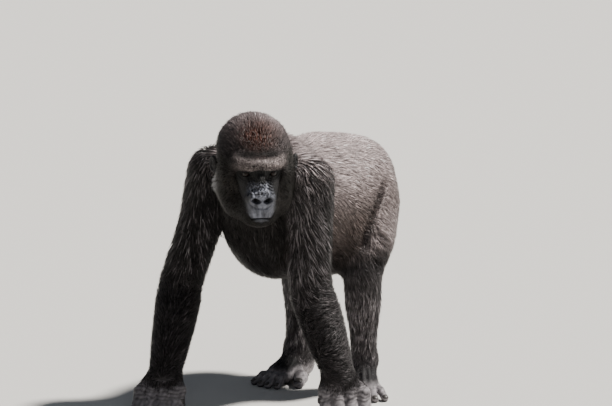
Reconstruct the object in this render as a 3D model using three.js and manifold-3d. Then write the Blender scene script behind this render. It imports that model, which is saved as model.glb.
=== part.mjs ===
// Young western lowland gorilla standing on all fours, resting on its knuckles and soles,
// head turned to its left. Millimetres, +Z up, facing -Y, the animal's left is +X.
// The body is one smooth shape, the outline being the tips of the coat; it is blended from
// tapering limbs and egg-shaped masses, then parted by thin plane cuts where the parts meet.
import * as THREE from 'three';
import { mergeVertices } from 'three/addons/utils/BufferGeometryUtils.js';
import Module from 'manifold-3d';

const wasm = await Module();
wasm.setup();
const { Manifold, Mesh } = wasm;

// ---- driving sizes, mm
const GAP = 0.3;              // width of every parting cut
const WORLD = [[1, 0, 0], [0, 1, 0], [0, 0, 1]];
const ORIGIN = [3.835, -132.405, 0];   // brings the middle of the whole over the origin
const CELL = { trunk: 50, neck: 40, arm: 32, leg: 33, head: 20.5, hand: 16, foot: 16, ear: 8.8 };

const HEAD_TURN = 44, HEAD_DROP = 9;            // degrees: turned to its left, dipped
const HEAD = [95, -418, 710];                   // middle of the head
const EYE_R = 11.5, EYE_L = 34, EYE_F = 80, EYE_U = -5;

const RIGHT_ARM = { shoulder: [-142, -275, 640], elbow: [-212, -335, 350], wrist: [-206, -425, 98], knuckle: [-200, -468, 19], heading: [0.42, -0.91], side: -1 };
const LEFT_ARM = { shoulder: [140, -250, 635], elbow: [146, -236, 350], wrist: [192, -168, 98], knuckle: [226, -184, 19], heading: [0.55, -0.84], side: 1 };
const RIGHT_LEG = { hip: [-80, 145, 505], knee: [-98, 62, 325], ankle: [-122, 85, 84], heading: [0, -1], side: -1 };
const LEFT_LEG = { hip: [80, 132, 505], knee: [147, 16, 350], ankle: [114, 72, 84], heading: [0.62, -0.78], side: 1 };

const ARM_R = { shoulder: 84, mid: 66, elbow: 63, belly: 64, lower: 56, wrist: 45 };
const LEG_R = { hip: 94, mid: 86, knee: 58, calf: 53, lower: 41, ankle: 36 };

// ---- small vector helpers
const add = (...v) => v.reduce((a, b) => [a[0] + b[0], a[1] + b[1], a[2] + b[2]]);
const mul = (a, s) => [a[0] * s, a[1] * s, a[2] * s];
const sub = (a, b) => [a[0] - b[0], a[1] - b[1], a[2] - b[2]];
const dot = (a, b) => a[0] * b[0] + a[1] * b[1] + a[2] * b[2];
const cross = (a, b) => [a[1] * b[2] - a[2] * b[1], a[2] * b[0] - a[0] * b[2], a[0] * b[1] - a[1] * b[0]];
const len = (a) => Math.hypot(a[0], a[1], a[2]);
const unit = (a) => mul(a, 1 / len(a));
const mix = (a, b, t) => add(mul(a, 1 - t), mul(b, t));

// ---- shapes the body is blended from
// a tapering rod with round ends
const cone = (a, b, ra, rb, k) => ({ rod: true, a, b, ra, rb, k });
// an egg with three half-axes along the given axes
const egg = (c, r, k, ax = WORLD) => ({ c, r, k, ax });

// a smooth run through stations [x, y, z, radius]
function run(stations, k = 6, n = 1) {
  let st = stations;
  if (n > 1 && st.length > 2) {
    const p = [st[0].map((v, i) => 2 * v - st[1][i]), ...st, st[st.length - 1].map((v, i) => 2 * v - st[st.length - 2][i])];
    const out = [];
    for (let i = 1; i < p.length - 2; i++) {
      for (let j = 0; j < n; j++) {
        const t = j / n;
        out.push(p[i].map((p1, c) => {
          const p0 = p[i - 1][c], p2 = p[i + 1][c], p3 = p[i + 2][c];
          return 0.5 * (2 * p1 + (p2 - p0) * t + (2 * p0 - 5 * p1 + 4 * p2 - p3) * t * t + (3 * p1 - p0 - 3 * p2 + p3) * t ** 3);
        }));
      }
    }
    out.push(p[p.length - 2]);
    st = out;
  }
  const rods = [];
  for (let i = 0; i + 1 < st.length; i++) rods.push(cone(st[i].slice(0, 3), st[i + 1].slice(0, 3), st[i][3], st[i + 1][3], k));
  return rods;
}

function distance(s, p) {
  if (s.rod) {
    const ba = sub(s.b, s.a), q = sub(p, s.a);
    const t = Math.min(1, Math.max(0, dot(q, ba) / dot(ba, ba)));
    return len(sub(q, mul(ba, t))) - (s.ra + (s.rb - s.ra) * t);
  }
  const q = sub(p, s.c);
  let k0 = 0, k1 = 0;
  for (let i = 0; i < 3; i++) {
    const v = dot(q, s.ax[i]) / s.r[i];
    k0 += v * v;
    k1 += (v / s.r[i]) ** 2;
  }
  k0 = Math.sqrt(k0); k1 = Math.sqrt(k1);
  return k0 * (k0 - 1) / Math.max(k1, 1e-9);
}

// soft join of two distances
function soften(a, b, k) {
  if (k <= 0) return Math.min(a, b);
  const h = Math.max(k - Math.abs(a - b), 0) / k;
  return Math.min(a, b) - h * h * k * 0.25;
}

// a body: groups of shapes, each group joined softly to the rest
function field(groups) {
  return (p) => {
    let d = 400;
    for (const [shapes, kg] of groups) {
      let g = 400;
      for (const s of shapes) g = soften(g, distance(s, p), s.k);
      d = soften(d, g, kg);
    }
    return d;
  };
}

// ---- head axes: l to its left, f forward, u up
const rad = Math.PI / 180;
const HF = [Math.sin(HEAD_TURN * rad) * Math.cos(HEAD_DROP * rad), -Math.cos(HEAD_TURN * rad) * Math.cos(HEAD_DROP * rad), -Math.sin(HEAD_DROP * rad)];
const HL = [Math.cos(HEAD_TURN * rad), Math.sin(HEAD_TURN * rad), 0];
const HU = cross(HF, HL);
const onHead = (l, f, u) => add(HEAD, mul(HL, l), mul(HF, f), mul(HU, u));
const headEgg = (l, f, u, r, k, tilt = 0) => {
  const c = Math.cos(tilt), s = Math.sin(tilt);
  return egg(onHead(l, f, u), r, k, [HL, add(mul(HF, c), mul(HU, s)), add(mul(HF, -s), mul(HU, c))]);
};
const headRun = (st, k = 6, n = 1) => run(st.map(([l, f, u, r]) => [...onHead(l, f, u), r]), k, n);

function headShapes() {
  const g = [
    headEgg(0, -22, 30, [97, 108, 86], 30),      // braincase
    headEgg(0, -40, 54, [64, 84, 54], 40),       // crown hair
    headEgg(0, -78, 0, [84, 70, 86], 40),        // nape
    headEgg(0, 58, 32, [66, 40, 28], 30),        // foot of the forehead
  ];
  for (const s of [1, -1]) g.push(headEgg(s * 66, 6, -34, [42, 60, 78], 35));   // cheeks
  g.push(...headRun([[-58, 64, 17, 14], [-32, 88, 24, 14.5], [0, 96, 25, 13.5], [32, 88, 24, 14.5], [58, 64, 17, 14]], 15, 2)); // brow ridge
  for (const s of [1, -1]) g.push(...headRun([[s * 57, 60, 16, 15], [s * 61, 50, -10, 17], [s * 61, 40, -48, 20]], 12)); // cheekbones
  g.push(headEgg(0, 60, -36, [56, 44, 62], 22));           // mid face
  g.push(headEgg(0, 92, -86, [44, 54, 46], 30, -0.1));     // muzzle
  for (const s of [1, -1]) g.push(...headRun([[s * 66, -10, -70, 36], [s * 50, 38, -102, 34], [s * 24, 88, -114, 27]], 30)); // jaw
  g.push(headEgg(0, 96, -118, [34, 34, 26], 22));          // chin
  return g;
}

function noseShapes() {
  const g = headRun([[0, 98, 2, 11], [0, 112, -26, 13], [0, 128, -46, 14]], 22);
  for (const s of [1, -1]) g.push(...headRun([[s * 9, 137, -46, 7], [s * 22, 131, -49, 9], [s * 29, 120, -60, 9], [s * 23, 128, -72, 7]], 9));
  return g;
}

function trunkShapes() {
  return [
    egg([0, -180, 530], [143, 180, 187], 40),    // rib cage
    egg([0, 0, 525], [170, 215, 206], 60),       // belly
    egg([0, 143, 574], [132, 118, 122], 60),     // rump
    ...[1, -1].map((s) => egg([s * 58, 131, 592], [82, 98, 98], 60)),   // hips
    egg([0, -225, 652], [160, 125, 96], 40),     // shoulder girdle
    egg([8, -285, 542], [86, 84, 110], 50),      // breast
  ];
}

function neckShapes() {
  return [
    cone([0, -225, 655], onHead(0, -60, 5), 100, 84, 50),
    cone([10, -290, 570], onHead(0, -10, -60), 80, 58, 50),
  ];
}

function armShapes({ shoulder: S, elbow: E, wrist: W }) {
  const R = ARM_R;
  return run([
    [...S, R.shoulder], [...add(mix(S, E, 0.5), [0, 6, 0]), R.mid], [...E, R.elbow],
    [...mix(E, W, 0.3), R.belly], [...mix(E, W, 0.68), R.lower], [...W, R.wrist],
  ], 6, 3);
}

function legShapes({ hip: H, knee: K, ankle: A, heading: [hx, hy] }) {
  const R = LEG_R, back = [-hx, -hy, 0];
  return run([
    [...H, R.hip], [...mix(H, K, 0.5), R.mid], [...K, R.knee],
    [...add(mix(K, A, 0.38), mul(back, 12)), R.calf], [...add(mix(K, A, 0.7), mul(back, 5)), R.lower], [...A, R.ankle],
  ], 6, 3);
}

// forward and inward directions of a hand or foot
function axes([hx, hy], side) {
  const f = unit([hx, hy, 0]);
  return { f, med: mul([-f[1], f[0], 0], -side) };
}

// four fingers folded so that their middle bones lie on the ground, and a short thumb
function handShapes({ wrist: W, knuckle: K, heading, side }) {
  const { f, med } = axes(heading, side);
  const row = add(K, [0, 0, 38], mul(f, -14));
  const palm = [], fingers = [];
  for (const t of [-1.5, -0.5, 0.5, 1.5]) {
    const top = add(row, mul(med, -t * 33), [0, 0, -4 * Math.abs(t)]);
    palm.push(...run([[...add(W, mul(med, -t * 15), [0, 0, -6]), 26], [...top, 21]], 14));
    const pip = add(K, mul(med, -t * 35), mul(f, 10 - 6 * Math.abs(t)), [0, 0, -6]);
    const mid = add(pip, mul(f, -40));
    const tip = add(mid, mul(f, -2), [0, 0, 26]);
    fingers.push([...run([[...top, 20], [...pip, 18]], 10), ...run([[...pip, 18], [...mid, 16], [...tip, 12]], 6)]);
  }
  const thumb = run([[...add(W, mul(med, 26), [0, 0, -14]), 20], [...add(row, mul(med, 60), mul(f, -8), [0, 0, 2]), 15], [...add(row, mul(med, 64), mul(f, 6), [0, 0, -24]), 12]], 12);
  return { palm, fingers, thumb };
}

// flat sole, four short toes and a big toe standing away on the inner side
function footShapes({ ankle: A, heading, side }) {
  const { f, med } = axes(heading, side);
  const at = (v, z) => [v[0], v[1], z];
  const ball = at(add(A, mul(f, 88)), 24), heel = at(add(A, mul(f, -30)), 28);
  const sole = [
    ...run([[...A, 37], [...add(A, mul(f, -20), [0, 0, -32]), 34]], 20),
    cone(heel, add(ball, mul(med, -2)), 31, 26, 20),
    cone(add(A, mul(f, 8), [0, 0, -10]), ball, 33, 23, 20),
  ];
  for (const t of [-1, 1]) sole.push(cone(add(A, mul(f, 25), [0, 0, -40]), add(ball, mul(med, t * 22)), 27, 20, 18));
  const toes = [];
  for (const [t, l] of [[1.2, 68], [0.4, 74], [-0.4, 70], [-1.2, 60]]) {
    const b = at(add(ball, mul(med, t * 24)), 22);
    const m = add(b, mul(f, l * 0.55), mul(med, t * 6), [0, 0, 3]);
    const e = at(add(b, mul(f, l), mul(med, t * 11 - 4)), 8.2);
    toes.push(run([[...b, 14], [...m, 10.6], [...e, 10]], 5));
  }
  const big = run([
    [...at(add(A, mul(f, 38), mul(med, 26)), 24), 20],
    [...at(add(A, mul(f, 72), mul(med, 62)), 21), 18],
    [...at(add(A, mul(f, 110), mul(med, 80)), 12), 15],
  ], 10);
  return { sole, toes, big };
}

// the ear is a small plate standing out from the side of the head, its back edge outermost
function earEgg(s) {
  const splay = 0.45, c = Math.cos(splay), q = Math.sin(splay) * s;
  return egg(onHead(s * 108, -14, -8), [16, 7, 23], 5, [add(mul(HF, c), mul(HL, -q)), add(mul(HL, c), mul(HF, q)), HU]);
}
const armGroup = (a) => [armShapes(a), 24];
const legGroup = (l) => [legShapes(l), 50];
const handGroups = (a) => { const h = handShapes(a); return [[h.palm, 18], ...h.fingers.map((x) => [x, 5]), [h.thumb, 8]]; };
const footGroups = (l) => { const h = footShapes(l); return [[h.sole, 22], ...h.toes.map((x) => [x, 5]), [h.big, 9]]; };
const CORE = [[trunkShapes(), 0], [neckShapes(), 60], [headShapes(), 40], [noseShapes(), 14]];

// ---- skinning a field with quads: one point in each cell the surface passes through,
// drawn on to the surface, so that the quads follow its curves
function bounds(groups, pad) {
  const lo = [1e9, 1e9, 1e9], hi = [-1e9, -1e9, -1e9];
  for (const [shapes] of groups) for (const s of shapes) {
    for (const [c, r] of s.rod ? [[s.a, s.ra], [s.b, s.rb]] : [[s.c, Math.max(...s.r)]]) {
      for (let i = 0; i < 3; i++) { lo[i] = Math.min(lo[i], c[i] - r - pad); hi[i] = Math.max(hi[i], c[i] + r + pad); }
    }
  }
  return [lo, hi];
}

function net(fn, lo, hi, cell, shift) {
  const n = [0, 1, 2].map((i) => Math.ceil((hi[i] - lo[i]) / cell) + 2);
  const at = (i, j, k) => [lo[0] + (i - shift[0]) * cell, lo[1] + (j - shift[1]) * cell, lo[2] + (k - shift[2]) * cell];
  const id = (i, j, k) => (i * n[1] + j) * n[2] + k;
  const D = new Float64Array(n[0] * n[1] * n[2]);
  for (let i = 0; i < n[0]; i++) for (let j = 0; j < n[1]; j++) for (let k = 0; k < n[2]; k++) {
    const edge = i === 0 || j === 0 || k === 0 || i === n[0] - 1 || j === n[1] - 1 || k === n[2] - 1;
    D[id(i, j, k)] = edge ? Math.max(0.4 * cell, fn(at(i, j, k))) : fn(at(i, j, k));
  }
  // a cell whose inside or outside corners fall into two lots is settled by turning its
  // nearest corner over, so that the skin never touches itself
  const corner = [0, 1, 2, 3, 4, 5, 6, 7].map((c) => [c & 1, c >> 1 & 1, c >> 2]);
  const joined = (set) => {
    if (set.length < 2) return true;
    const reach = [set[0]];
    for (let r = 0; r < reach.length; r++) for (const c of set) if (!reach.includes(c) && [1, 2, 4].includes(c ^ reach[r])) reach.push(c);
    return reach.length === set.length;
  };
  for (let sweep = 0, turned = 1; sweep < 30 && turned; sweep++) {
    turned = 0;
    for (let i = 0; i + 1 < n[0]; i++) for (let j = 0; j + 1 < n[1]; j++) for (let k = 0; k + 1 < n[2]; k++) {
      const ids = corner.map(([a, b, c]) => id(i + a, j + b, k + c));
      const inside = [0, 1, 2, 3, 4, 5, 6, 7].filter((c) => D[ids[c]] < 0), outside = [0, 1, 2, 3, 4, 5, 6, 7].filter((c) => D[ids[c]] >= 0);
      if (joined(inside) && joined(outside)) continue;
      const few = inside.length <= outside.length ? inside : outside;
      const c = few.reduce((m, x) => (Math.abs(D[ids[x]]) < Math.abs(D[ids[m]]) ? x : m), few[0]);
      D[ids[c]] = D[ids[c]] < 0 ? 0.05 * cell : -0.05 * cell;
      turned++;
    }
  }
  const slope = (p) => {
    const e = 0.5, g = [0, 1, 2].map((a) => { const q = [...p], r = [...p]; q[a] += e; r[a] -= e; return (fn(q) - fn(r)) / (2 * e); });
    return g;
  };
  const points = [], cellAt = new Int32Array(n[0] * n[1] * n[2]).fill(-1);
  for (let i = 0; i + 1 < n[0]; i++) for (let j = 0; j + 1 < n[1]; j++) for (let k = 0; k + 1 < n[2]; k++) {
    let sum = [0, 0, 0], count = 0;
    for (let a = 0; a < 3; a++) for (let u = 0; u < 2; u++) for (let v = 0; v < 2; v++) {
      const o = [0, 0, 0]; o[(a + 1) % 3] = u; o[(a + 2) % 3] = v;
      const o2 = [...o]; o2[a] = 1;
      const d0 = D[id(i + o[0], j + o[1], k + o[2])], d1 = D[id(i + o2[0], j + o2[1], k + o2[2])];
      if ((d0 < 0) === (d1 < 0)) continue;
      const q = [...o]; q[a] = d0 / (d0 - d1);
      sum = add(sum, q); count++;
    }
    if (!count) continue;
    const start = at(i + sum[0] / count, j + sum[1] / count, k + sum[2] / count);
    let p = [...start];
    for (let it = 0; it < 3; it++) {
      const g = slope(p), gg = dot(g, g);
      if (gg < 0.05) break;
      p = sub(p, mul(g, 0.9 * fn(p) / Math.max(gg, 0.3)));
    }
    const off = sub(p, start), far = len(off);
    if (far > 0.45 * cell) p = add(start, mul(off, 0.45 * cell / far));
    cellAt[id(i, j, k)] = points.length;
    points.push(p);
  }
  const faces = [];
  for (let i = 0; i + 1 < n[0]; i++) for (let j = 0; j + 1 < n[1]; j++) for (let k = 0; k + 1 < n[2]; k++) {
    for (let a = 0; a < 3; a++) {
      const o = [i, j, k]; const o2 = [...o]; o2[a]++;
      if (o[(a + 1) % 3] === 0 || o[(a + 2) % 3] === 0) continue;
      const s0 = D[id(...o)] < 0, s1 = D[id(...o2)] < 0;
      if (s0 === s1) continue;
      const b = (a + 1) % 3, c = (a + 2) % 3;
      let q = [[-1, -1], [0, -1], [0, 0], [-1, 0]].map(([x, y]) => { const m = [...o]; m[b] += x; m[c] += y; return cellAt[id(...m)]; });
      if (s1) q = q.reverse();
      const short = len(sub(points[q[0]], points[q[2]])) <= len(sub(points[q[1]], points[q[3]]));
      if (short) faces.push([q[0], q[1], q[2]], [q[0], q[2], q[3]]);
      else faces.push([q[1], q[2], q[3]], [q[1], q[3], q[0]]);
    }
  }
  return { points, faces };
}

// every edge is shared by exactly two faces, once each way
function sound({ points, faces }) {
  const seen = new Map();
  for (const f of faces) for (let i = 0; i < 3; i++) {
    const key = f[i] * points.length + f[(i + 1) % 3];
    if (seen.has(key)) return false;
    seen.set(key, 1);
  }
  for (const key of seen.keys()) {
    const a = Math.floor(key / points.length), b = key % points.length;
    if (!seen.has(b * points.length + a)) return false;
  }
  return true;
}

// keep the largest connected piece
function largest({ points, faces }) {
  const parent = points.map((_, i) => i);
  const root = (i) => { while (parent[i] !== i) { parent[i] = parent[parent[i]]; i = parent[i]; } return i; };
  for (const [a, b, c] of faces) { parent[root(a)] = root(b); parent[root(b)] = root(c); }
  const count = new Map();
  for (const [a] of faces) count.set(root(a), (count.get(root(a)) || 0) + 1);
  let best = -1, most = 0;
  for (const [r, c] of count) if (c > most) { most = c; best = r; }
  const map = new Map(), out = { points: [], faces: [] };
  for (const f of faces) {
    if (root(f[0]) !== best) continue;
    out.faces.push(f.map((v) => { if (!map.has(v)) { map.set(v, out.points.length); out.points.push(points[v]); } return map.get(v); }));
  }
  return out;
}

function toSolid({ points, faces }) {
  return new Manifold(new Mesh({ numProp: 3, vertProperties: Float32Array.from(points.flat()), triVerts: Uint32Array.from(faces.flat()) }));
}

function solidOf(geometry) {
  let g = geometry.index ? geometry.clone() : geometry;
  g.deleteAttribute('normal'); g.deleteAttribute('uv');
  g = mergeVertices(g, 1e-4);
  return new Manifold(new Mesh({ numProp: 3, vertProperties: new Float32Array(g.attributes.position.array), triVerts: new Uint32Array(g.index.array) }));
}

// the solid filling a field, skinned on a grid laid along the given axes about a middle point
function fill(groups, { c, ax }, lo, hi, cell) {
  const fn = field(groups);
  const world = (q) => add(c, mul(ax[0], q[0]), mul(ax[1], q[1]), mul(ax[2], q[2]));
  const start = lo.map((v) => -Math.ceil(-v / cell) * cell);
  for (const t of [0, 0.31, 0.53, 0.71]) {
    const m = largest(net((q) => fn(world(q)), start, hi, cell, [t, t, t]));
    if (sound(m)) return toSolid({ points: m.points.map(world), faces: m.faces });
  }
  throw new Error('surface is not sound');
}

// ---- cutters: a box with its middle, axes and half sizes
function block({ c, ax, half }, grow = 0) {
  const g = new THREE.BoxGeometry(2 * (half[0] + grow), 2 * (half[1] + grow), 2 * (half[2] + grow));
  g.applyMatrix4(new THREE.Matrix4().makeBasis(...ax.map((v) => new THREE.Vector3(...v))).setPosition(...c));
  return solidOf(g);
}

// axes with z along dir and y as near as may be to hint
function frame(dir, hint) {
  const z = unit(dir), x = unit(cross(hint, z));
  return [x, cross(z, x), z];
}

// a box whose floor and roof stand on two points along an axis
function between(a, b, hint, wide, deep, shift = [0, 0]) {
  const ax = frame(sub(b, a), hint);
  return { c: add(mix(a, b, 0.5), mul(ax[0], shift[0]), mul(ax[1], shift[1])), ax, half: [wide, deep, len(sub(b, a)) / 2] };
}

const FLOOR = { c: [0, 0, -250], ax: WORLD, half: [900, 900, 250] };

// an upper arm or thigh: from near the root of the limb to beyond the joint at b; the inner
// face stands "inner" away from the bone at b and nearer to it, by "lean", at the root, and
// the outer face stands well outside the flesh
function limbBlock(root, b, side, inner, outer, deep, past, lean) {
  const a = add(root, [side * lean, 0, 0]);
  const dir = unit(sub(b, a)), far = add(b, mul(dir, past));
  const ax = frame(dir, [0, -1, 0]);
  const out = mul(ax[0], Math.sign(ax[0][0]) * side);
  return { c: add(mix(a, far, 0.5), mul(out, (outer - inner) / 2)), ax, half: [(outer + inner) / 2, deep, len(sub(far, a)) / 2] };
}
const level = (c, half) => ({ c, ax: WORLD, half });

// where a block's corners reach, plus a margin, is filled with the field
function within(groups, cutter, cell, grid = cutter) {
  const lo = [1e9, 1e9, 1e9], hi = [-1e9, -1e9, -1e9];
  for (let n = 0; n < 8; n++) {
    let p = cutter.c;
    for (let a = 0; a < 3; a++) p = add(p, mul(cutter.ax[a], (n >> a & 1 ? 1 : -1) * (cutter.half[a] + 30)));
    for (let i = 0; i < 3; i++) { const q = dot(sub(p, grid.c), grid.ax[i]); lo[i] = Math.min(lo[i], q); hi[i] = Math.max(hi[i], q); }
  }
  return fill(groups, grid, lo, hi, cell);
}

const MATERIAL = {
  coat: new THREE.MeshStandardMaterial({ color: 0x2b2624, roughness: 0.85, metalness: 0 }),
  skin: new THREE.MeshStandardMaterial({ color: 0x35322f, roughness: 0.6, metalness: 0 }),
  eye: new THREE.MeshStandardMaterial({ color: 0x2a160c, roughness: 0.15, metalness: 0 }),
};
const gorilla = new THREE.Group();
gorilla.name = 'gorilla';

function place(name, material, solid) {
  const m = solid.getMesh();
  const points = [], faces = [];
  for (let i = 0; i < m.numVert; i++) points.push([0, 1, 2].map((a) => m.vertProperties[i * m.numProp + a] - ORIGIN[a]));
  for (let i = 0; i < m.numTri; i++) faces.push([m.triVerts[3 * i], m.triVerts[3 * i + 1], m.triVerts[3 * i + 2]]);
  const one = largest({ points, faces });
  const g = new THREE.BufferGeometry();
  g.setAttribute('position', new THREE.BufferAttribute(Float32Array.from(one.points.flat()), 3));
  g.setIndex(one.faces.flat());
  g.computeVertexNormals();
  const mesh = new THREE.Mesh(g, MATERIAL[material]);
  mesh.name = name;
  gorilla.add(mesh);
}

const ground = block(FLOOR);
function carve(name, material, groups, cutter, cell, grid, minus = [], takes = [], adds = []) {
  let s = within(groups, cutter, cell, grid).intersect(block(cutter)).subtract(ground);
  for (const u of minus) s = s.subtract(block(u, GAP));
  for (const t of takes) s = s.subtract(t);
  for (const t of adds) s = s.add(t);
  place(name, material, s);
}

// ---- head, with the eyes and ears set into it
const tiltUp = unit(add(mul(HF, 0.84), mul(HU, 0.54)));
const headBlock = { c: add(HEAD, mul(tiltUp, -48 + 200)), ax: frame(tiltUp, HU), half: [124, 260, 200] };
const eyeball = (s, r) => solidOf(new THREE.SphereGeometry(r, 11, 7).rotateX(Math.PI / 2).translate(...onHead(s * EYE_L, EYE_F, EYE_U)));
const ear = (s, scale = 1) => {
  const e = earEgg(s), r = e.r.map((v) => v + 9);
  const m = net((q) => distance({ ...e, c: [0, 0, 0], ax: WORLD }, q), mul(r, -1), r, CELL.ear, [0, 0, 0]);
  return toSolid({ points: m.points.map((q) => add(e.c, mul(e.ax[0], q[0] * scale), mul(e.ax[1], q[1] * scale), mul(e.ax[2], q[2] * scale))), faces: m.faces });
};
carve('head', 'coat', [...CORE, armGroup(LEFT_ARM), armGroup(RIGHT_ARM)], headBlock, CELL.head, { c: HEAD, ax: [HF, HL, HU] }, [], [...[1, -1].map((s) => eyeball(s, EYE_R + 2 * GAP)), ...[1, -1].map((s) => ear(s, 1.07))]);
for (const [tag, s] of [['l', 1], ['r', -1]]) {
  place(`eye_${tag}`, 'eye', eyeball(s, EYE_R));
  place(`ear_${tag}`, 'skin', ear(s));
}

// a grid laid along the way a hand or foot points
const walk = (at, { heading, side }) => { const { f, med } = axes(heading, side); return { c: [at[0], at[1], 0], ax: [f, mul(med, -side), [0, 0, 1]] }; };

// ---- limbs
const roots = [];
for (const [tag, A] of [['l', LEFT_ARM], ['r', RIGHT_ARM]]) {
  const { shoulder: S, elbow: E, wrist: W, side } = A;
  const dir = unit(sub(E, S));
  const hand = level([W[0], W[1], W[2] / 2 - 30], [140, 140, W[2] / 2 + 30]);
  const fore = between(E, add(W, mul(unit(sub(W, E)), 40)), [0, -1, 0], 84, 84);
  const upper = limbBlock(add(S, mul(dir, -112)), E, side, 72, 140, 88, 70, 44);
  carve(`hand_${tag}`, 'skin', [armGroup(A), ...handGroups(A)], hand, CELL.hand, walk(W, A));
  carve(`forearm_${tag}`, 'coat', [armGroup(A), ...handGroups(A)], fore, CELL.arm, fore, [hand]);
  carve(`upper_arm_${tag}`, 'coat', [...CORE, armGroup(A)], upper, CELL.arm, upper, [fore, headBlock]);
  roots.push(upper);
}
for (const [tag, G] of [['l', LEFT_LEG], ['r', RIGHT_LEG]]) {
  const { hip: H, knee: K, ankle: A, side } = G;
  const dir = unit(sub(K, H));
  const foot = level([A[0], A[1], A[2] / 2 - 30], [220, 220, A[2] / 2 + 30]);
  const shin = between(K, add(A, mul(unit(sub(A, K)), 40)), [0, -1, 0], 72, 76);
  const thigh = limbBlock(add(H, mul(dir, 62)), K, side, 68, 140, 112, 70, 30);
  carve(`foot_${tag}`, 'skin', [legGroup(G), ...footGroups(G)], foot, CELL.foot, walk(A, G));
  carve(`shin_${tag}`, 'coat', [legGroup(G), ...footGroups(G)], shin, CELL.leg, shin, [foot]);
  carve(`thigh_${tag}`, 'coat', [...CORE, legGroup(G)], thigh, CELL.leg, thigh, [shin]);
  roots.push(thigh, shin);
}

// ---- neck and trunk
const neckRoot = [20, -282, 668], toHead = unit(sub(HEAD, neckRoot));
const neck = { c: add(neckRoot, mul(toHead, 130)), ax: frame(toHead, [0, 0, 1]), half: [150, 150, 130] };
carve('neck', 'coat', [...CORE, armGroup(LEFT_ARM), armGroup(RIGHT_ARM)], neck, CELL.neck, neck, [headBlock, roots[0], roots[1]]);
const stumps = [
  ...[LEFT_ARM, RIGHT_ARM].map((a) => [armShapes(a).slice(0, 5), 24]),
  ...[LEFT_LEG, RIGHT_LEG].map((l) => [legShapes(l).slice(0, 4), 50]),
];
carve('trunk', 'coat', [...CORE, ...stumps], level([0, -60, 500], [400, 480, 330]), CELL.trunk, { c: [0, -60, 500], ax: WORLD }, [headBlock, neck, ...roots]);

export default gorilla;
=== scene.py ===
"""A young western lowland gorilla standing on all fours: skin, coat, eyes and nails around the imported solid."""
import bpy, bmesh, math
import numpy as np
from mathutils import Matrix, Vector


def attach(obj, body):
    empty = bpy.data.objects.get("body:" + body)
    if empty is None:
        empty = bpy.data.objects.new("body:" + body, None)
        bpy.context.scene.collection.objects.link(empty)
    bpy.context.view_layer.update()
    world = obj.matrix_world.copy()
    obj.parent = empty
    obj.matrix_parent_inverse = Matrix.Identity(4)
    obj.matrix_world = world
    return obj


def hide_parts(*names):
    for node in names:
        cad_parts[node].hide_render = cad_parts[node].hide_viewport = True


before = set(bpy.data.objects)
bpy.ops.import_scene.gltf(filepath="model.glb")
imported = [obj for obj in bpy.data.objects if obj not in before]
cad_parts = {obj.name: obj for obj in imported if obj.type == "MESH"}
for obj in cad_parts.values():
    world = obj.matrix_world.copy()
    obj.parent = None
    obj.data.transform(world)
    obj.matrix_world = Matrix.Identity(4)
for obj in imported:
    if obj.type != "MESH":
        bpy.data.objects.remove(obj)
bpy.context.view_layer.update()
rng = np.random.default_rng(7)
ORIGIN = np.array([3.835, -132.405, 0.0])      # mm, the same shift as the solid's

# ------------------------------------------------------------------ camera
AZ, EL, DIST = math.radians(35), math.radians(10), 8.0
TARGET = np.array([-0.02, -0.02, 0.53]) - ORIGIN / 1000.0
back = np.array([math.sin(AZ) * math.cos(EL), -math.cos(AZ) * math.cos(EL), math.sin(EL)])
cam_data = bpy.data.cameras.new("camera")
cam_data.lens = 169.4
cam_data.sensor_width = 36.0
cam_data.clip_end = 60
cam = bpy.data.objects.new("camera", cam_data)
cam.location = Vector(TARGET + DIST * back)
cam.rotation_euler = Vector(-back).to_track_quat("-Z", "Y").to_euler()
bpy.context.scene.collection.objects.link(cam)
bpy.context.scene.camera = cam


# ------------------------------------------------------------------ the body as a field of distances, mm
def V(*a):
    return np.array(a, float)


def unit(v):
    v = np.asarray(v, float)
    return v / np.linalg.norm(v)


def unit_rows(v):
    return v / np.maximum(np.linalg.norm(v, axis=1, keepdims=True), 1e-9)


def cone(a, b, ra, rb, k=20, coat=(0, 0)):
    return dict(t="c", a=V(*a), b=V(*b), ra=ra, rb=rb, k=k, coat=coat)


def ell(c, r, axes=None, k=20, coat=0):
    return dict(t="e", c=V(*c), r=V(*r), ax=np.eye(3) if axes is None else np.array(axes, float), k=k, coat=coat)


def spline(pts, n):
    P = [np.array(p, float) for p in pts]
    P = [2 * P[0] - P[1]] + P + [2 * P[-1] - P[-2]]
    out = []
    for i in range(1, len(P) - 2):
        p0, p1, p2, p3 = P[i - 1], P[i], P[i + 1], P[i + 2]
        for j in range(n):
            t = j / n
            out.append(0.5 * (2 * p1 + (p2 - p0) * t + (2 * p0 - 5 * p1 + 4 * p2 - p3) * t * t + (3 * p1 - p0 - 3 * p2 + p3) * t ** 3))
    out.append(P[-2])
    return out


def chain(pts, k=6, coat=0, n=1):
    """stations (x, y, z, radius, coat depth)"""
    pts = [tuple(p) + ((coat,) if len(p) < 5 else ()) for p in pts]
    if n > 1 and len(pts) > 2:
        pts = [tuple(p) for p in spline(pts, n)]
    return [cone(p[:3], q[:3], p[3], q[3], k, (p[4], q[4])) for p, q in zip(pts[:-1], pts[1:])]


def bound(p, pad):
    if p["t"] == "c":
        r = max(p["ra"], p["rb"])
        return np.minimum(p["a"], p["b"]) - r - pad, np.maximum(p["a"], p["b"]) + r + pad
    r = p["r"].max()
    return p["c"] - r - pad, p["c"] + r + pad


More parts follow.
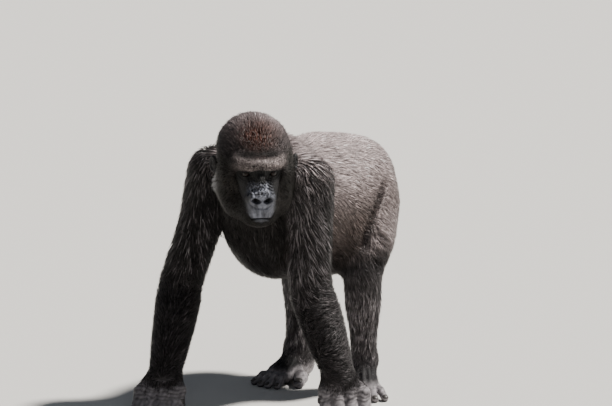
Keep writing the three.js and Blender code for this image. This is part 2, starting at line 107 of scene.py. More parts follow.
def dist(p, X, inset):
    if p["t"] == "c":
        a, b = p["a"], p["b"]
        ba = b - a
        q = X - a
        h = np.clip((q @ ba) / (ba @ ba), 0, 1)
        q = q - h[..., None] * ba
        r = p["ra"] + (p["rb"] - p["ra"]) * h - inset * (p["coat"][0] + (p["coat"][1] - p["coat"][0]) * h)
        return np.sqrt((q * q).sum(-1)) - r
    q = (X - p["c"]) @ p["ax"].T
    r = p["r"] - inset * p["coat"]
    k0 = np.sqrt(((q / r) ** 2).sum(-1))
    k1 = np.sqrt(((q / (r * r)) ** 2).sum(-1))
    return k0 * (k0 - 1) / np.maximum(k1, 1e-9)


def smin(a, b, k):
    h = np.maximum(k - np.abs(a - b), 0) / k
    return np.minimum(a, b) - h * h * k * 0.25


BIG = 400.0


def field_at(groups, X, inset=0.0, pad=30):
    D = np.full(len(X), BIG)
    for prims, kg in groups:
        los, his = zip(*[bound(p, pad + max(p["k"], kg)) for p in prims])
        idx = np.nonzero(np.all((X >= np.min(los, 0)) & (X <= np.max(his, 0)), 1))[0]
        if not len(idx):
            continue
        XX = X[idx]
        G = np.full(len(idx), BIG)
        for p in prims:
            l2, h2 = bound(p, pad + p["k"])
            j = np.nonzero(np.all((XX >= l2) & (XX <= h2), 1))[0]
            if len(j):
                G[j] = smin(G[j], dist(p, XX[j], inset), p["k"])
        D[idx] = smin(D[idx], G, kg) if kg > 0 else np.minimum(D[idx], G)
    return D


def field_grid(groups, lo, hi, cell, inset=0.0):
    n = np.ceil((hi - lo) / cell).astype(int) + 1
    ax = [lo[i] + cell * np.arange(n[i]) for i in range(3)]
    D = np.full(n, BIG, np.float32)
    pad = cell * 2.5

    def sub(l, h_):
        s = []
        for i in range(3):
            a = max(0, int(np.floor((l[i] - lo[i]) / cell)))
            b = min(n[i], int(np.ceil((h_[i] - lo[i]) / cell)) + 1)
            if b <= a:
                return None
            s.append(slice(a, b))
        return tuple(s)

    for prims, kg in groups:
        los, his = zip(*[bound(p, pad + max(p["k"], kg)) for p in prims])
        sg = sub(np.min(los, 0), np.max(his, 0))
        if sg is None:
            continue
        G = np.full(tuple(s.stop - s.start for s in sg), BIG, np.float32)
        for p in prims:
            sp = sub(*bound(p, pad + p["k"]))
            if sp is None:
                continue
            sp = tuple(slice(max(a.start, b.start), min(a.stop, b.stop)) for a, b in zip(sp, sg))
            if any(s.stop <= s.start for s in sp):
                continue
            X = np.stack(np.meshgrid(ax[0][sp[0]], ax[1][sp[1]], ax[2][sp[2]], indexing="ij"), -1)
            loc = tuple(slice(s.start - g.start, s.stop - g.start) for s, g in zip(sp, sg))
            G[loc] = smin(G[loc], dist(p, X, inset), p["k"])
        D[sg] = smin(D[sg], G, kg) if kg > 0 else np.minimum(D[sg], G)
    return D


def surface_nets(D, lo, cell):
    nx, ny, nz = D.shape
    s = D < 0
    c = np.zeros((nx - 1, ny - 1, nz - 1), np.int8)
    corners = [(i, j, k) for i in (0, 1) for j in (0, 1) for k in (0, 1)]
    for (i, j, k) in corners:
        c += s[i:nx - 1 + i, j:ny - 1 + j, k:nz - 1 + k]
    act = (c > 0) & (c < 8)
    idx = -np.ones(act.shape, np.int64)
    ijk = np.argwhere(act)
    idx[act] = np.arange(len(ijk))
    acc = np.zeros((len(ijk), 3))
    cnt = np.zeros(len(ijk))
    for (i, j, k) in corners:
        for a in range(3):
            if (i, j, k)[a]:
                continue
            o = [i, j, k]
            o2 = list(o)
            o2[a] = 1
            d0 = D[ijk[:, 0] + o[0], ijk[:, 1] + o[1], ijk[:, 2] + o[2]]
            d1 = D[ijk[:, 0] + o2[0], ijk[:, 1] + o2[1], ijk[:, 2] + o2[2]]
            m = (d0 < 0) != (d1 < 0)
            t = np.where(m, d0 / np.where(m, d0 - d1, 1), 0)
            p = np.stack([np.full(len(ijk), float(x)) for x in o], 1)
            p[:, a] += t
            acc[m] += p[m]
            cnt[m] += 1
    v = lo + (ijk + acc / cnt[:, None]) * cell
    quads = []
    for a in range(3):
        b, c2 = (a + 1) % 3, (a + 2) % 3
        sl0 = [slice(None)] * 3
        sl1 = [slice(None)] * 3
        sl0[a] = slice(0, -1)
        sl1[a] = slice(1, None)
        for sl in (sl0, sl1):
            sl[b] = slice(1, -1)
            sl[c2] = slice(1, -1)
        d0 = s[tuple(sl0)]
        d1 = s[tuple(sl1)]
        e = np.argwhere(d0 != d1)
        if not len(e):
            continue
        flip = d1[tuple(e.T)]
        e = e.copy()
        e[:, b] += 1
        e[:, c2] += 1
        q = []
        for (ob, oc) in ((-1, -1), (0, -1), (0, 0), (-1, 0)):
            cc = e.copy()
            cc[:, b] += ob
            cc[:, c2] += oc
            q.append(idx[cc[:, 0], cc[:, 1], cc[:, 2]])
        q = np.stack(q, 1)
        q[flip] = q[flip][:, ::-1]
        quads.append(q)
    return v, np.concatenate(quads)


def gradient(groups, X, inset, e=0.6):
    g = np.stack([field_at(groups, X + d, inset) - field_at(groups, X - d, inset) for d in np.eye(3) * e], 1)
    return unit_rows(g)


def settle(groups, X, inset, times=2):
    """points drawn on to the surface of the field"""
    for _ in range(times):
        d = field_at(groups, X, inset)
        X = X - gradient(groups, X, inset) * np.clip(d, -4, 4)[:, None]
    return X


# ------------------------------------------------------------------ the animal, mm
YAW, PITCH = math.radians(44), math.radians(9)
HC = V(95, -418, 710)
F = V(math.sin(YAW) * math.cos(PITCH), -math.cos(YAW) * math.cos(PITCH), -math.sin(PITCH))
L = V(math.cos(YAW), math.sin(YAW), 0)
U = np.cross(F, L)
HAX = np.array([L, F, U])
EYE_R, EYE_L, EYE_F, EYE_U = 11.5, 34, 80, -5


def h(l, f, u):
    return HC + l * L + f * F + u * U


def hell(l, f, u, r, k=20, coat=0, tilt=0):
    ax = HAX
    if tilt:
        c, s = math.cos(tilt), math.sin(tilt)
        ax = np.array([L, c * F + s * U, -s * F + c * U])
    return ell(h(l, f, u), r, ax, k, coat)


def hchain(pts, k=6, coat=0, n=1):
    return chain([tuple(h(*p[:3])) + tuple(p[3:]) for p in pts], k, coat, n)


def head():
    g = [hell(0, -22, 30, (97, 108, 86), coat=15, k=30),
         hell(0, -40, 54, (64, 84, 54), coat=18, k=40),
         hell(0, -78, 0, (84, 70, 86), coat=22, k=40),
         hell(0, 58, 32, (66, 40, 28), coat=5, k=30)]
    for s in (1, -1):
        g.append(hell(s * 66, 6, -34, (42, 60, 78), coat=16, k=35))
    g += hchain([(-58, 64, 17, 14, 3), (-32, 88, 24, 14.5, 3), (0, 96, 25, 13.5, 3), (32, 88, 24, 14.5, 3), (58, 64, 17, 14, 3)], k=15, n=2)
    for s in (1, -1):
        g += hchain([(s * 57, 60, 16, 15, 5), (s * 61, 50, -10, 17, 6), (s * 61, 40, -48, 20, 9)], k=12)
    g.append(hell(0, 60, -36, (56, 44, 62), coat=1, k=22))
    g.append(hell(0, 92, -86, (44, 54, 46), coat=1, k=30, tilt=-0.1))
    for s in (1, -1):
        g += hchain([(s * 66, -10, -70, 36, 14), (s * 50, 38, -102, 34, 11), (s * 24, 88, -114, 27, 5)], k=30)
    g.append(hell(0, 96, -118, (34, 34, 26), coat=4, k=22))
    return g


def nose():
    g = hchain([(0, 98, 2, 11, 1), (0, 112, -26, 13, 1), (0, 128, -46, 14, 1)], k=22)
    for s in (1, -1):
        g += hchain([(s * 9, 137, -46, 7, 0), (s * 22, 131, -49, 9, 0), (s * 29, 120, -60, 9, 0), (s * 23, 128, -72, 7, 0)], k=9)
    return g


def trunk():
    return [ell((0, -180, 530), (143, 180, 187), coat=16, k=40),
            ell((0, 0, 525), (170, 215, 206), coat=14, k=60),
            ell((0, 143, 574), (132, 118, 122), coat=12, k=60),
            ell((58, 131, 592), (82, 98, 98), coat=12, k=60),
            ell((-58, 131, 592), (82, 98, 98), coat=12, k=60),
            ell((0, -225, 652), (160, 125, 96), coat=20, k=40),
            ell((8, -285, 542), (86, 84, 110), coat=10, k=50)]


def neck():
    return [cone((0, -225, 655), tuple(h(0, -60, 5)), 100, 84, 50, (24, 22)),
            cone((10, -290, 570), tuple(h(0, -10, -60)), 80, 58, 50, (16, 14))]


RIGHT_ARM = dict(S=V(-142, -275, 640), E=V(-212, -335, 350), W=V(-206, -425, 98), K=V(-200, -468, 19), d=(0.42, -0.91), side=-1)
LEFT_ARM = dict(S=V(140, -250, 635), E=V(146, -236, 350), W=V(192, -168, 98), K=V(226, -184, 19), d=(0.55, -0.84), side=1)
RIGHT_LEG = dict(H=V(-80, 145, 505), K=V(-98, 62, 325), A=V(-122, 85, 84), d=(0.0, -1.0), side=-1)
LEFT_LEG = dict(H=V(80, 132, 505), K=V(147, 16, 350), A=V(114, 72, 84), d=(0.62, -0.78), side=1)


def arm(a):
    S, E, W = a["S"], a["E"], a["W"]
    m1 = S * 0.5 + E * 0.5 + V(0, 6, 0)
    return chain([tuple(S) + (84, 20), tuple(m1) + (66, 22), tuple(E) + (63, 19), tuple(E * 0.7 + W * 0.3) + (64, 14),
                  tuple(E * 0.32 + W * 0.68) + (56, 12), tuple(W) + (45, 8)], k=6, n=3)


def leg(l):
    H, K, A = l["H"], l["K"], l["A"]
    bk = -V(l["d"][0], l["d"][1], 0)
    return chain([tuple(H) + (94, 14), tuple(H * 0.5 + K * 0.5) + (86, 14), tuple(K) + (58, 14),
                  tuple(K * 0.62 + A * 0.38 + bk * 12) + (53, 15), tuple(K * 0.3 + A * 0.7 + bk * 5) + (41, 12), tuple(A) + (36, 7)], k=6, n=3)


def axes_of(a):
    f = unit(V(a["d"][0], a["d"][1], 0))
    return f, -a["side"] * V(-f[1], f[0], 0)


def hand(a):
    W, K = a["W"], a["K"]
    f, med = axes_of(a)
    row = K + V(0, 0, 38) - f * 14
    palm, fingers, ends = [], [], []
    for t in (-1.5, -0.5, 0.5, 1.5):
        top = row - med * t * 33 + V(0, 0, -4 * abs(t))
        palm += chain([tuple(W - med * t * 15 + V(0, 0, -6)) + (26, 5), tuple(top) + (21, 3)], k=14)
        pip = K - med * t * 35 + f * (10 - 6 * abs(t)) + V(0, 0, -6)
        mid = pip - f * 40
        tip = mid - f * 2 + V(0, 0, 26)
        fingers.append(chain([tuple(top) + (20, 1), tuple(pip) + (18, 0)], k=10) + chain([tuple(pip) + (18, 0), tuple(mid) + (16, 0), tuple(tip) + (12, 0)], k=6))
        ends.append((tip, -f, V(0, 0, 1), 12))
    t2 = row + med * 64 + f * 6 + V(0, 0, -24)
    thumb = chain([tuple(W + med * 26 + V(0, 0, -14)) + (20, 3), tuple(row + med * 60 - f * 8 + V(0, 0, 2)) + (15, 1), tuple(t2) + (12, 0)], k=12)
    ends.append((t2, med * 0.5 + f * 0.8, V(0, 0, -1), 12))
    return palm, fingers, thumb, ends


def foot(l):
    A = l["A"]
    f, med = axes_of(l)

    def at(v, z):
        return V(v[0], v[1], z)
    ball, heel = at(A + f * 88, 24), at(A - f * 30, 28)
    sole = chain([tuple(A) + (37, 6), tuple(A - f * 20 + V(0, 0, -32)) + (34, 3)], k=20)
    sole += [cone(heel, ball - med * 2, 31, 26, 20, (2, 2)), cone(A + f * 8 + V(0, 0, -10), ball, 33, 23, 20, (5, 2))]
    for t in (-1, 1):
        sole.append(cone(A + f * 25 + V(0, 0, -40), ball + med * t * 22, 27, 20, 18, (3, 1)))
    toes, ends = [], []
    for t, ln in ((1.2, 68), (0.4, 74), (-0.4, 70), (-1.2, 60)):
        b = at(ball + med * t * 24, 22)
        m = b + f * ln * 0.55 + med * t * 6 + V(0, 0, 3)
        e = at(b + f * ln + med * (t * 11 - 4), 8.2)
        toes.append(chain([tuple(b) + (14, 1), tuple(m) + (10.6, 0), tuple(e) + (10, 0)], k=5))
        ends.append((e, V(0, 0, 1), unit(e - m), 10))
    b, m, e = at(A + f * 38 + med * 26, 24), at(A + f * 72 + med * 62, 21), at(A + f * 110 + med * 80, 12)
    big = chain([tuple(b) + (20, 2), tuple(m) + (18, 0), tuple(e) + (15, 0)], k=10)
    ends.append((e, V(0, 0, 1), unit(e - m), 15))
    return sole, toes, big, ends


def ear_frame(s):
    c, q = math.cos(0.45), math.sin(0.45) * s
    return h(s * 108, -14, -8), np.array([c * F - q * L, c * L + q * F, U])


CORE = [(trunk(), 0), (neck(), 60), (head(), 40), (nose(), 14)]
ENDS = []
G_ARM, G_HAND, G_LEG, G_FOOT, G_EAR = [], [], [], [], []
for a_ in (RIGHT_ARM, LEFT_ARM):
    G_ARM.append((arm(a_), 24))
    palm_, fingers_, thumb_, e_ = hand(a_)
    G_HAND.append([(palm_, 18)] + [(x, 5) for x in fingers_] + [(thumb_, 8)])
    ENDS += [("hand",) + x for x in e_]
for l_ in (RIGHT_LEG, LEFT_LEG):
    G_LEG.append((leg(l_), 50))
    sole_, toes_, big_, e_ = foot(l_)
    G_FOOT.append([(sole_, 22)] + [(x, 5) for x in toes_] + [(big_, 9)])
    ENDS += [("foot",) + x for x in e_]
for s_ in (1, -1):
    c_, ax_ = ear_frame(s_)
    G_EAR.append(([ell(c_, (16, 7, 23), ax_, k=5)], 5))
BODY = CORE + G_ARM + G_LEG + sum(G_HAND, []) + sum(G_FOOT, []) + G_EAR


def head_coords(P):
    return (P - HC) @ HAX.T        # columns l, f, u


def bump(x, w):
    return np.exp(-(x / w) ** 2)


def step(x, a, b):
    t = np.clip((x - a) / (b - a), 0, 1)
    return t * t * (3 - 2 * t)


def wobble(P, scale, seed):
    """a smooth field of about -1 to 1 from a few crossed waves"""
    r = np.random.default_rng(seed)
    out = np.zeros(len(P))
    for i in range(7):
        d = unit(r.normal(size=3)) / scale * r.uniform(0.6, 1.7)
        out += np.sin(P @ d * 2 * math.pi + r.uniform(0, 6.28))
    return out / 3.2


# ------------------------------------------------------------------ skin
def bare_face(P):
    """1 on the naked skin of the face, 0 in the hair around it"""
    l, f, u = head_coords(P).T
    half = np.interp(u, [-124, -118, -111, -104, -84, -56, -34, -14, 2, 10], [0, 14, 26, 33, 38, 45, 54, 60, 58, 0])
    return step(half - np.abs(l), -4, 7) * step(f, 34, 52)


# creases in the skin of each side, as points (y, z), with depth, half width and the strength of the painted shade along
# them: flank to thigh, then above the knee
CREASES = [([(126, 596), (96, 577), (72, 547), (44, 518), (20, 491), (3, 461), (-8, 433), (-17, 411)], 17.0, 10.0, 0.86),
           ([(31, 473), (42, 453), (57, 438), (82, 430)], 10.0, 7.0, 0.75),
           ([(1, 417), (13, 407), (38, 398), (67, 398)], 8.0, 7.0, 0.60),
           ([(2, 395), (11, 383), (30, 375), (57, 377)], 8.0, 7.0, 0.60)]


def near_line(P, pts):
    """distance in y and z to a line of points, and the share of the way along it"""
    best = np.full(len(P), 1e9)
    along = np.zeros(len(P))
    for i, (a, b) in enumerate(zip(pts[:-1], pts[1:])):
        a, b = V(*a), V(*b)
        q_ = P[:, 1:3] - a
        t = np.clip(q_ @ (b - a) / ((b - a) @ (b - a)), 0, 1)
        d = np.linalg.norm(q_ - t[:, None] * (b - a), axis=1)
        along = np.where(d < best, (i + t) / (len(pts) - 1), along)
        best = np.minimum(best, d)
    return best, along


def folds(P):
    """creases of loose skin between flank and thigh and over the knees, mm"""
    out = np.zeros(len(P))
    on = step(np.abs(P[:, 0]), 45, 85)
    for pts, deep, w, _ in CREASES:
        d, t = near_line(P, pts)
        fade = on * step(t, -0.02, 0.22) * step(-t, -1.02, -0.80)
        out += fade * deep * (0.42 * bump(d - 2.0 * w, w * 0.9) - bump(d, w))
    return out


def fold_shade(P):
    out = np.ones(len(P))
    on = step(np.abs(P[:, 0]), 45, 85)
    for pts, _, w, dark in CREASES:
        d, t = near_line(P, pts)
        out *= 1 - dark * on * step(t, -0.02, 0.22) * step(-t, -1.02, -0.80) * bump(d, w * 1.25)
    return out


def limb_relief(P, W):
    """wrinkles over wrists and hands, cords over the feet, mm"""
    z = P[:, 2]
    a = W[:, 5] * step(z, 22, 40) * step(-z, -125, -100)
    out = -1.7 * a * (0.5 + 0.5 * np.sin((z + 4.5 * wobble(P, 38, 71)) * 2 * math.pi / 10.5)) ** 1.4
    out += -0.9 * W[:, 5] * step(-z, -46, -34) * (0.5 + 0.5 * np.sin((z + 2.0 * wobble(P, 20, 73)) * 2 * math.pi / 7.5))
    for leg_ in (RIGHT_LEG, LEFT_LEG):
        f_, med_ = axes_of(leg_)
        q_ = P - leg_["A"]
        along, across = q_ @ f_, q_ @ med_
        on = W[:, 8] * step(along, 24, 50) * step(-along, -112, -92) * step(z, 24, 34) * (np.linalg.norm(q_, axis=1) < 190)
        out += 2.2 * on * np.cos((across + 9.6) * 2 * math.pi / (19.2 + 0.06 * (along - 88))) * step(-np.abs(across), -44, -34)
    return out


def face_relief(P):
    """how far the skin of the face is pushed out or in, mm"""
    l, f, u = head_coords(P).T
    al = np.abs(l)
    front = step(f, 40, 66)
    d = np.zeros(len(P))
    # closed mouth
    um = -111 - 0.009 * l * l
    wide = step(-al, -28, -19)
    d += -5.5 * bump(u - um, 1.9) * wide * step(f, 84, 96)
    d += (1.6 * bump(u - um - 6, 4) + 1.8 * bump(u - um + 6, 4)) * wide * step(f, 88, 100)
    # groove of the upper lip and nostrils
    d += -1.8 * bump(l, 2.0) * step(-u, 70, 76) * step(u, -103, -96) * step(f, 90, 110)
    for s in (1, -1):
        x, y = (l - s * 14.5) * 0.94 + (u + 60) * 0.34 * s, (u + 60) * 0.94 - (l - s * 14.5) * 0.34 * s
        d += -15 * np.exp(-((x / 10.6) ** 2 + ((y + 1.0) / 7.2) ** 2) ** 1.7) * step(f, 100, 112)
        # the wing of the nose stands out in an arch about it
        r = np.hypot(x / 1.45, y)
        d += 3.0 * bump(r - 9.8, 2.4) * step(f, 96, 110)
    # the pad of the nose, broad over the nostrils, with a groove below it
    pad = np.hypot(l / 33, (u + 57 + 0.10 * al) / 23)
    d += (4.5 * step(-pad, -1.02, -0.80) - 2.2 * bump(pad - 1.10, 0.09)) * step(f, 86, 100)
    # creases over the bridge of the nose and under the eyes
    creased = step(-u, 6, 16) * step(u, -56, -44) * step(-al, -42, -28)
    d += -2.6 * creased * (0.5 + 0.5 * np.sin((u + 0.62 * al + 2.5 * wobble(P, 34, 3)) * 2 * math.pi / 7.2)) * front
    d += -2.0 * creased * (0.5 + 0.5 * np.sin((u * 0.35 - al + 2.0 * wobble(P, 28, 5)) * 2 * math.pi / 9.5)) * front
    # upright folds between the brows
    d += -2.2 * (0.5 + 0.5 * np.sin(l * 2 * math.pi / 7.0 + 1.2)) * bump(l, 17) * step(u, -2, 6) * step(-u, -30, -20) * front
    # rings about the sockets
    for s in (1, -1):
        r = np.hypot((l - s * EYE_L) / 1.35, u - EYE_U + 1)
        low = step(-(u - EYE_U), -2, 5)
        d += -1.1 * low * (bump(r - 16, 1.5) + 0.8 * bump(r - 21.5, 1.6)) * front
    # fine lines round the lips and cheeks
    d += 0.35 * wobble(P, 6, 8) * front * step(-u, 60, 75)
    return d


def eyelids(P):
    """skin round each eyeball: lids, and an opening cut back behind the ball"""
    l, f, u = head_coords(P).T
    out = P.copy()
    for s in (1, -1):
        c = h(s * EYE_L, EYE_F, EYE_U)
        dl, du = l - s * EYE_L, u - EYE_U
        near = (np.hypot(dl, du) < 15) & (f > EYE_F - 8)
        q = out[near] - c
        r = np.linalg.norm(q, axis=1)
        want = EYE_R + 1.9
        q = np.where((r < want)[:, None], q / np.maximum(r, 1e-6)[:, None] * want, q)
        out[near] = c + q
        # almond opening
        x, y = dl / 10.6, (du + 1.2) / (3.9 * np.sqrt(np.clip(1 - (dl / 11.4) ** 2, 0.02, 1)))
        hole = step(-(x * x + y * y), -1.15, -0.82) * near
        out -= F * (hole * 5.2)[:, None]
    return out


def ear_cup(P):
    out = P.copy()
    for s in (1, -1):
        c, ax = ear_frame(s)
        q = (P - c) @ ax.T          # columns forward, outward, up
        q[:, 1] *= s
        e = np.hypot(q[:, 0] / 16, q[:, 2] / 23)
        on = (q[:, 1] > 0) & (e < 1.25) & (np.abs(q[:, 1]) < 12)
        dip = 4.6 * step(-e, -0.82, -0.5) - 1.4 * bump(e - 0.9, 0.16) - 2.4 * bump(np.hypot(q[:, 0] + 1.5, q[:, 2] - 4) - 7.5, 2.2) * step(-e, -0.85, -0.6)
        out -= (ax[1] * s)[None, :] * (np.where(on, dip, 0))[:, None]
    return out


def weights(P):
    """nearness of each point to trunk, neck, head, upper arms, forearms, hands, thighs, shins, feet"""
    d = [field_at([CORE[0]], P, 1.0, 200), field_at([CORE[1]], P, 1.0, 200), field_at([CORE[2], CORE[3]], P, 1.0, 200)]
    d += [field_at([(g[0][:6], 0) for g in G_ARM], P, 1.0, 200), field_at([(g[0][6:], 0) for g in G_ARM], P, 1.0, 200)]
    d += [field_at(sum(G_HAND, []), P, 1.0, 200)]
    d += [field_at([(g[0][:6], 0) for g in G_LEG], P, 1.0, 200), field_at([(g[0][6:], 0) for g in G_LEG], P, 1.0, 200)]
    d += [field_at(sum(G_FOOT, []), P, 1.0, 200)]
    d = np.stack(d, 1)
    w = np.exp(-(d - d.min(1, keepdims=True)) / 9.0)
    return w / w.sum(1, keepdims=True)


lo = np.min([bound(p, 8)[0] for g, _ in BODY for p in g], 0)
hi = np.max([bound(p, 8)[1] for g, _ in BODY for p in g], 0)
CELL = 6.0
D = field_grid(BODY, lo, hi, CELL, 1.0)
v, q = surface_nets(D, lo, CELL)
v = settle(BODY, v, 1.0)


def finer(v, faces, pick):
    """each picked face parted in four"""
    me = bpy.data.meshes.new("tmp")
    me.from_pydata(v.tolist(), [], faces)
    bm = bmesh.new()
    bm.from_mesh(me)
    bm.faces.ensure_lookup_table()
    mask = pick(np.array([f.calc_center_median() for f in bm.faces]))
    edges = {e for f, m in zip(bm.faces, mask) if m for e in f.edges}
    bmesh.ops.subdivide_edges(bm, edges=list(edges), cuts=1, use_grid_fill=True)
    bm.verts.ensure_lookup_table()
    v = np.array([x.co for x in bm.verts])
    faces = [[x.index for x in f.verts] for f in bm.faces]
    bm.free()
    bpy.data.meshes.remove(me)
    return v, faces


def is_detail(C):
    l, f, u = head_coords(C).T
    face = (f > 8) & (np.abs(l) < 92) & (u < 62) & (u > -160)
    ear = (np.abs(np.abs(l) - 108) < 24) & (np.abs(f + 14) < 30) & (np.abs(u + 8) < 34)
    return face | ear | (C[:, 2] < 74)


def is_face(C):
    l, f, u = head_coords(C).T
    ear = (np.abs(np.abs(l) - 110) < 22) & (np.abs(f + 14) < 26) & (np.abs(u + 8) < 30)
    return ((f > 52) & (np.abs(l) < 62) & (u < 44) & (u > -128)) | ear


faces = q.tolist()
v, faces = finer(v, faces, is_detail)
v = settle(BODY, v, 1.0)
v, faces = finer(v, faces, is_face)
v = settle(BODY, v, 1.0)

normals = gradient(BODY, v, 1.0)
depth = np.clip(-field_at(BODY, v, 0.0), 0, 40)
naked = bare_face(v)
W_v = weights(v)
v = v + normals * (face_relief(v) + folds(v) + limb_relief(v, W_v))[:, None]
v = eyelids(v)
v = ear_cup(v)
v[:, 2] = np.maximum(v[:, 2], 0.0)


# ------------------------------------------------------------------ markings, painted light and painted shade, shared by skin and coat
# the back's own grey-brown, brightened by painted sunlight
SUNLIT_BACK_C = np.array([0.47, 0.395, 0.39])
FLANK_C = np.array([0.098, 0.075, 0.068])
LIMB_C = np.array([0.012, 0.0105, 0.0108])
DARK_C = np.array([0.009, 0.0075, 0.007])
CROWN_C = np.array([0.030, 0.0085, 0.0045])
# the hair on top of the head, paled by painted sunlight
SUNLIT_HEADTOP_C = np.array([0.17, 0.14, 0.14])
# the brow ridge's hair, paled by painted sunlight on its upper face
SUNLIT_BROW_C = np.array([0.22, 0.185, 0.178])
CHEEK_C = np.array([0.0095, 0.0080, 0.0065])
SHIN_C = np.array([0.085, 0.077, 0.080])


def hair_colour(P, W):
    l, f, u = head_coords(P).T
    x, y, z = P.T
    # trunk: back and rump paler towards the top, their own grey-brown brightened by painted sunlight; browner flank;
    # black breast and belly
    topness = step(z, 500, 680)
    rear = step(y, -260, 40)
    c = FLANK_C + (SUNLIT_BACK_C - FLANK_C) * topness[:, None]
    low = step(-z, -520, -380)
    c = c + (DARK_C * 1.2 - c) * (low * 0.85)[:, None]
    c = c + (DARK_C - c) * (step(-y, 230, 300) * step(-z, -690, -600))[:, None]
    c = c * (0.78 + 0.22 * rear)[:, None]
    trunk_c = c
    head_c = SUNLIT_HEADTOP_C + np.zeros((len(P), 3))
    patch = np.exp(-((l / 44) ** 2 + ((u - 72) / 34) ** 2) ** 1.6) * step(f, -30, 20)
    # the head's hair pale only on top, fading to three tenths lower down: painted sunlight
    head_c = head_c * (0.30 + 0.70 * step(u, 56, 104))[:, None]
    head_c = head_c + (CROWN_C - head_c) * (0.95 * patch)[:, None]
    # painted shade in the crease between the brow ridge and the forehead
    line = bump(u - 46 + 0.0022 * l * l, 7) * step(f, 40, 60) * step(-np.abs(l), -62, -36)
    head_c = head_c * (1 - 0.78 * line)[:, None]
    side = step(np.abs(l), 48, 78) * step(-u, -50, -14)
    head_c = head_c + (CHEEK_C - head_c) * side[:, None]
    # the brow ridge painted pale as if lit from above: painted sunlight
    brow = step(f, 56, 76) * step(u, 4, 14) * step(-u, -42, -31) * step(-np.abs(l), -74, -44)
    head_c = head_c + (SUNLIT_BROW_C - head_c) * (0.9 * brow)[:, None]
    low_face = step(-u, -2, 14) * step(f, -40, 10)
    head_c = head_c + (CHEEK_C - head_c) * (0.9 * low_face)[:, None]
    chin = step(-u, 84, 110)
    head_c = head_c + (CHEEK_C * 0.9 - head_c) * chin[:, None]
    # neck: dark, paling towards the top into the head top's colour: painted sunlight
    neck_c = DARK_C * 1.6 + (SUNLIT_HEADTOP_C * 1.0 - DARK_C * 1.6) * step(z, 640, 730)[:, None]
    # upper arms paler towards the shoulder: painted sunlight, full on the left arm and a quarter as strong on the right
    up = LIMB_C * 1.4 + (SUNLIT_BACK_C * 0.30 - LIMB_C * 1.4) * (step(z, 630, 730) * (0.25 + 0.75 * step(x, -60, 60)))[:, None]
    # thighs in the back's pale colour above, dark below: the paleness is painted sunlight
    thigh = SUNLIT_BACK_C * 0.74 + (LIMB_C * 1.5 - SUNLIT_BACK_C * 0.74) * step(-z, -465, -385)[:, None]
    parts = [trunk_c, neck_c, head_c, up, LIMB_C * 1.9 + 0 * c, LIMB_C * 1.9 + 0 * c, thigh, SHIN_C + 0 * c, SHIN_C * 1.3 + 0 * c]
    out = sum(W[:, i:i + 1] * p for i, p in enumerate(parts))
    return out * (1 + 0.12 * wobble(P, 90, 21))[:, None]


SKIN_C = np.array([0.012, 0.0115, 0.012])


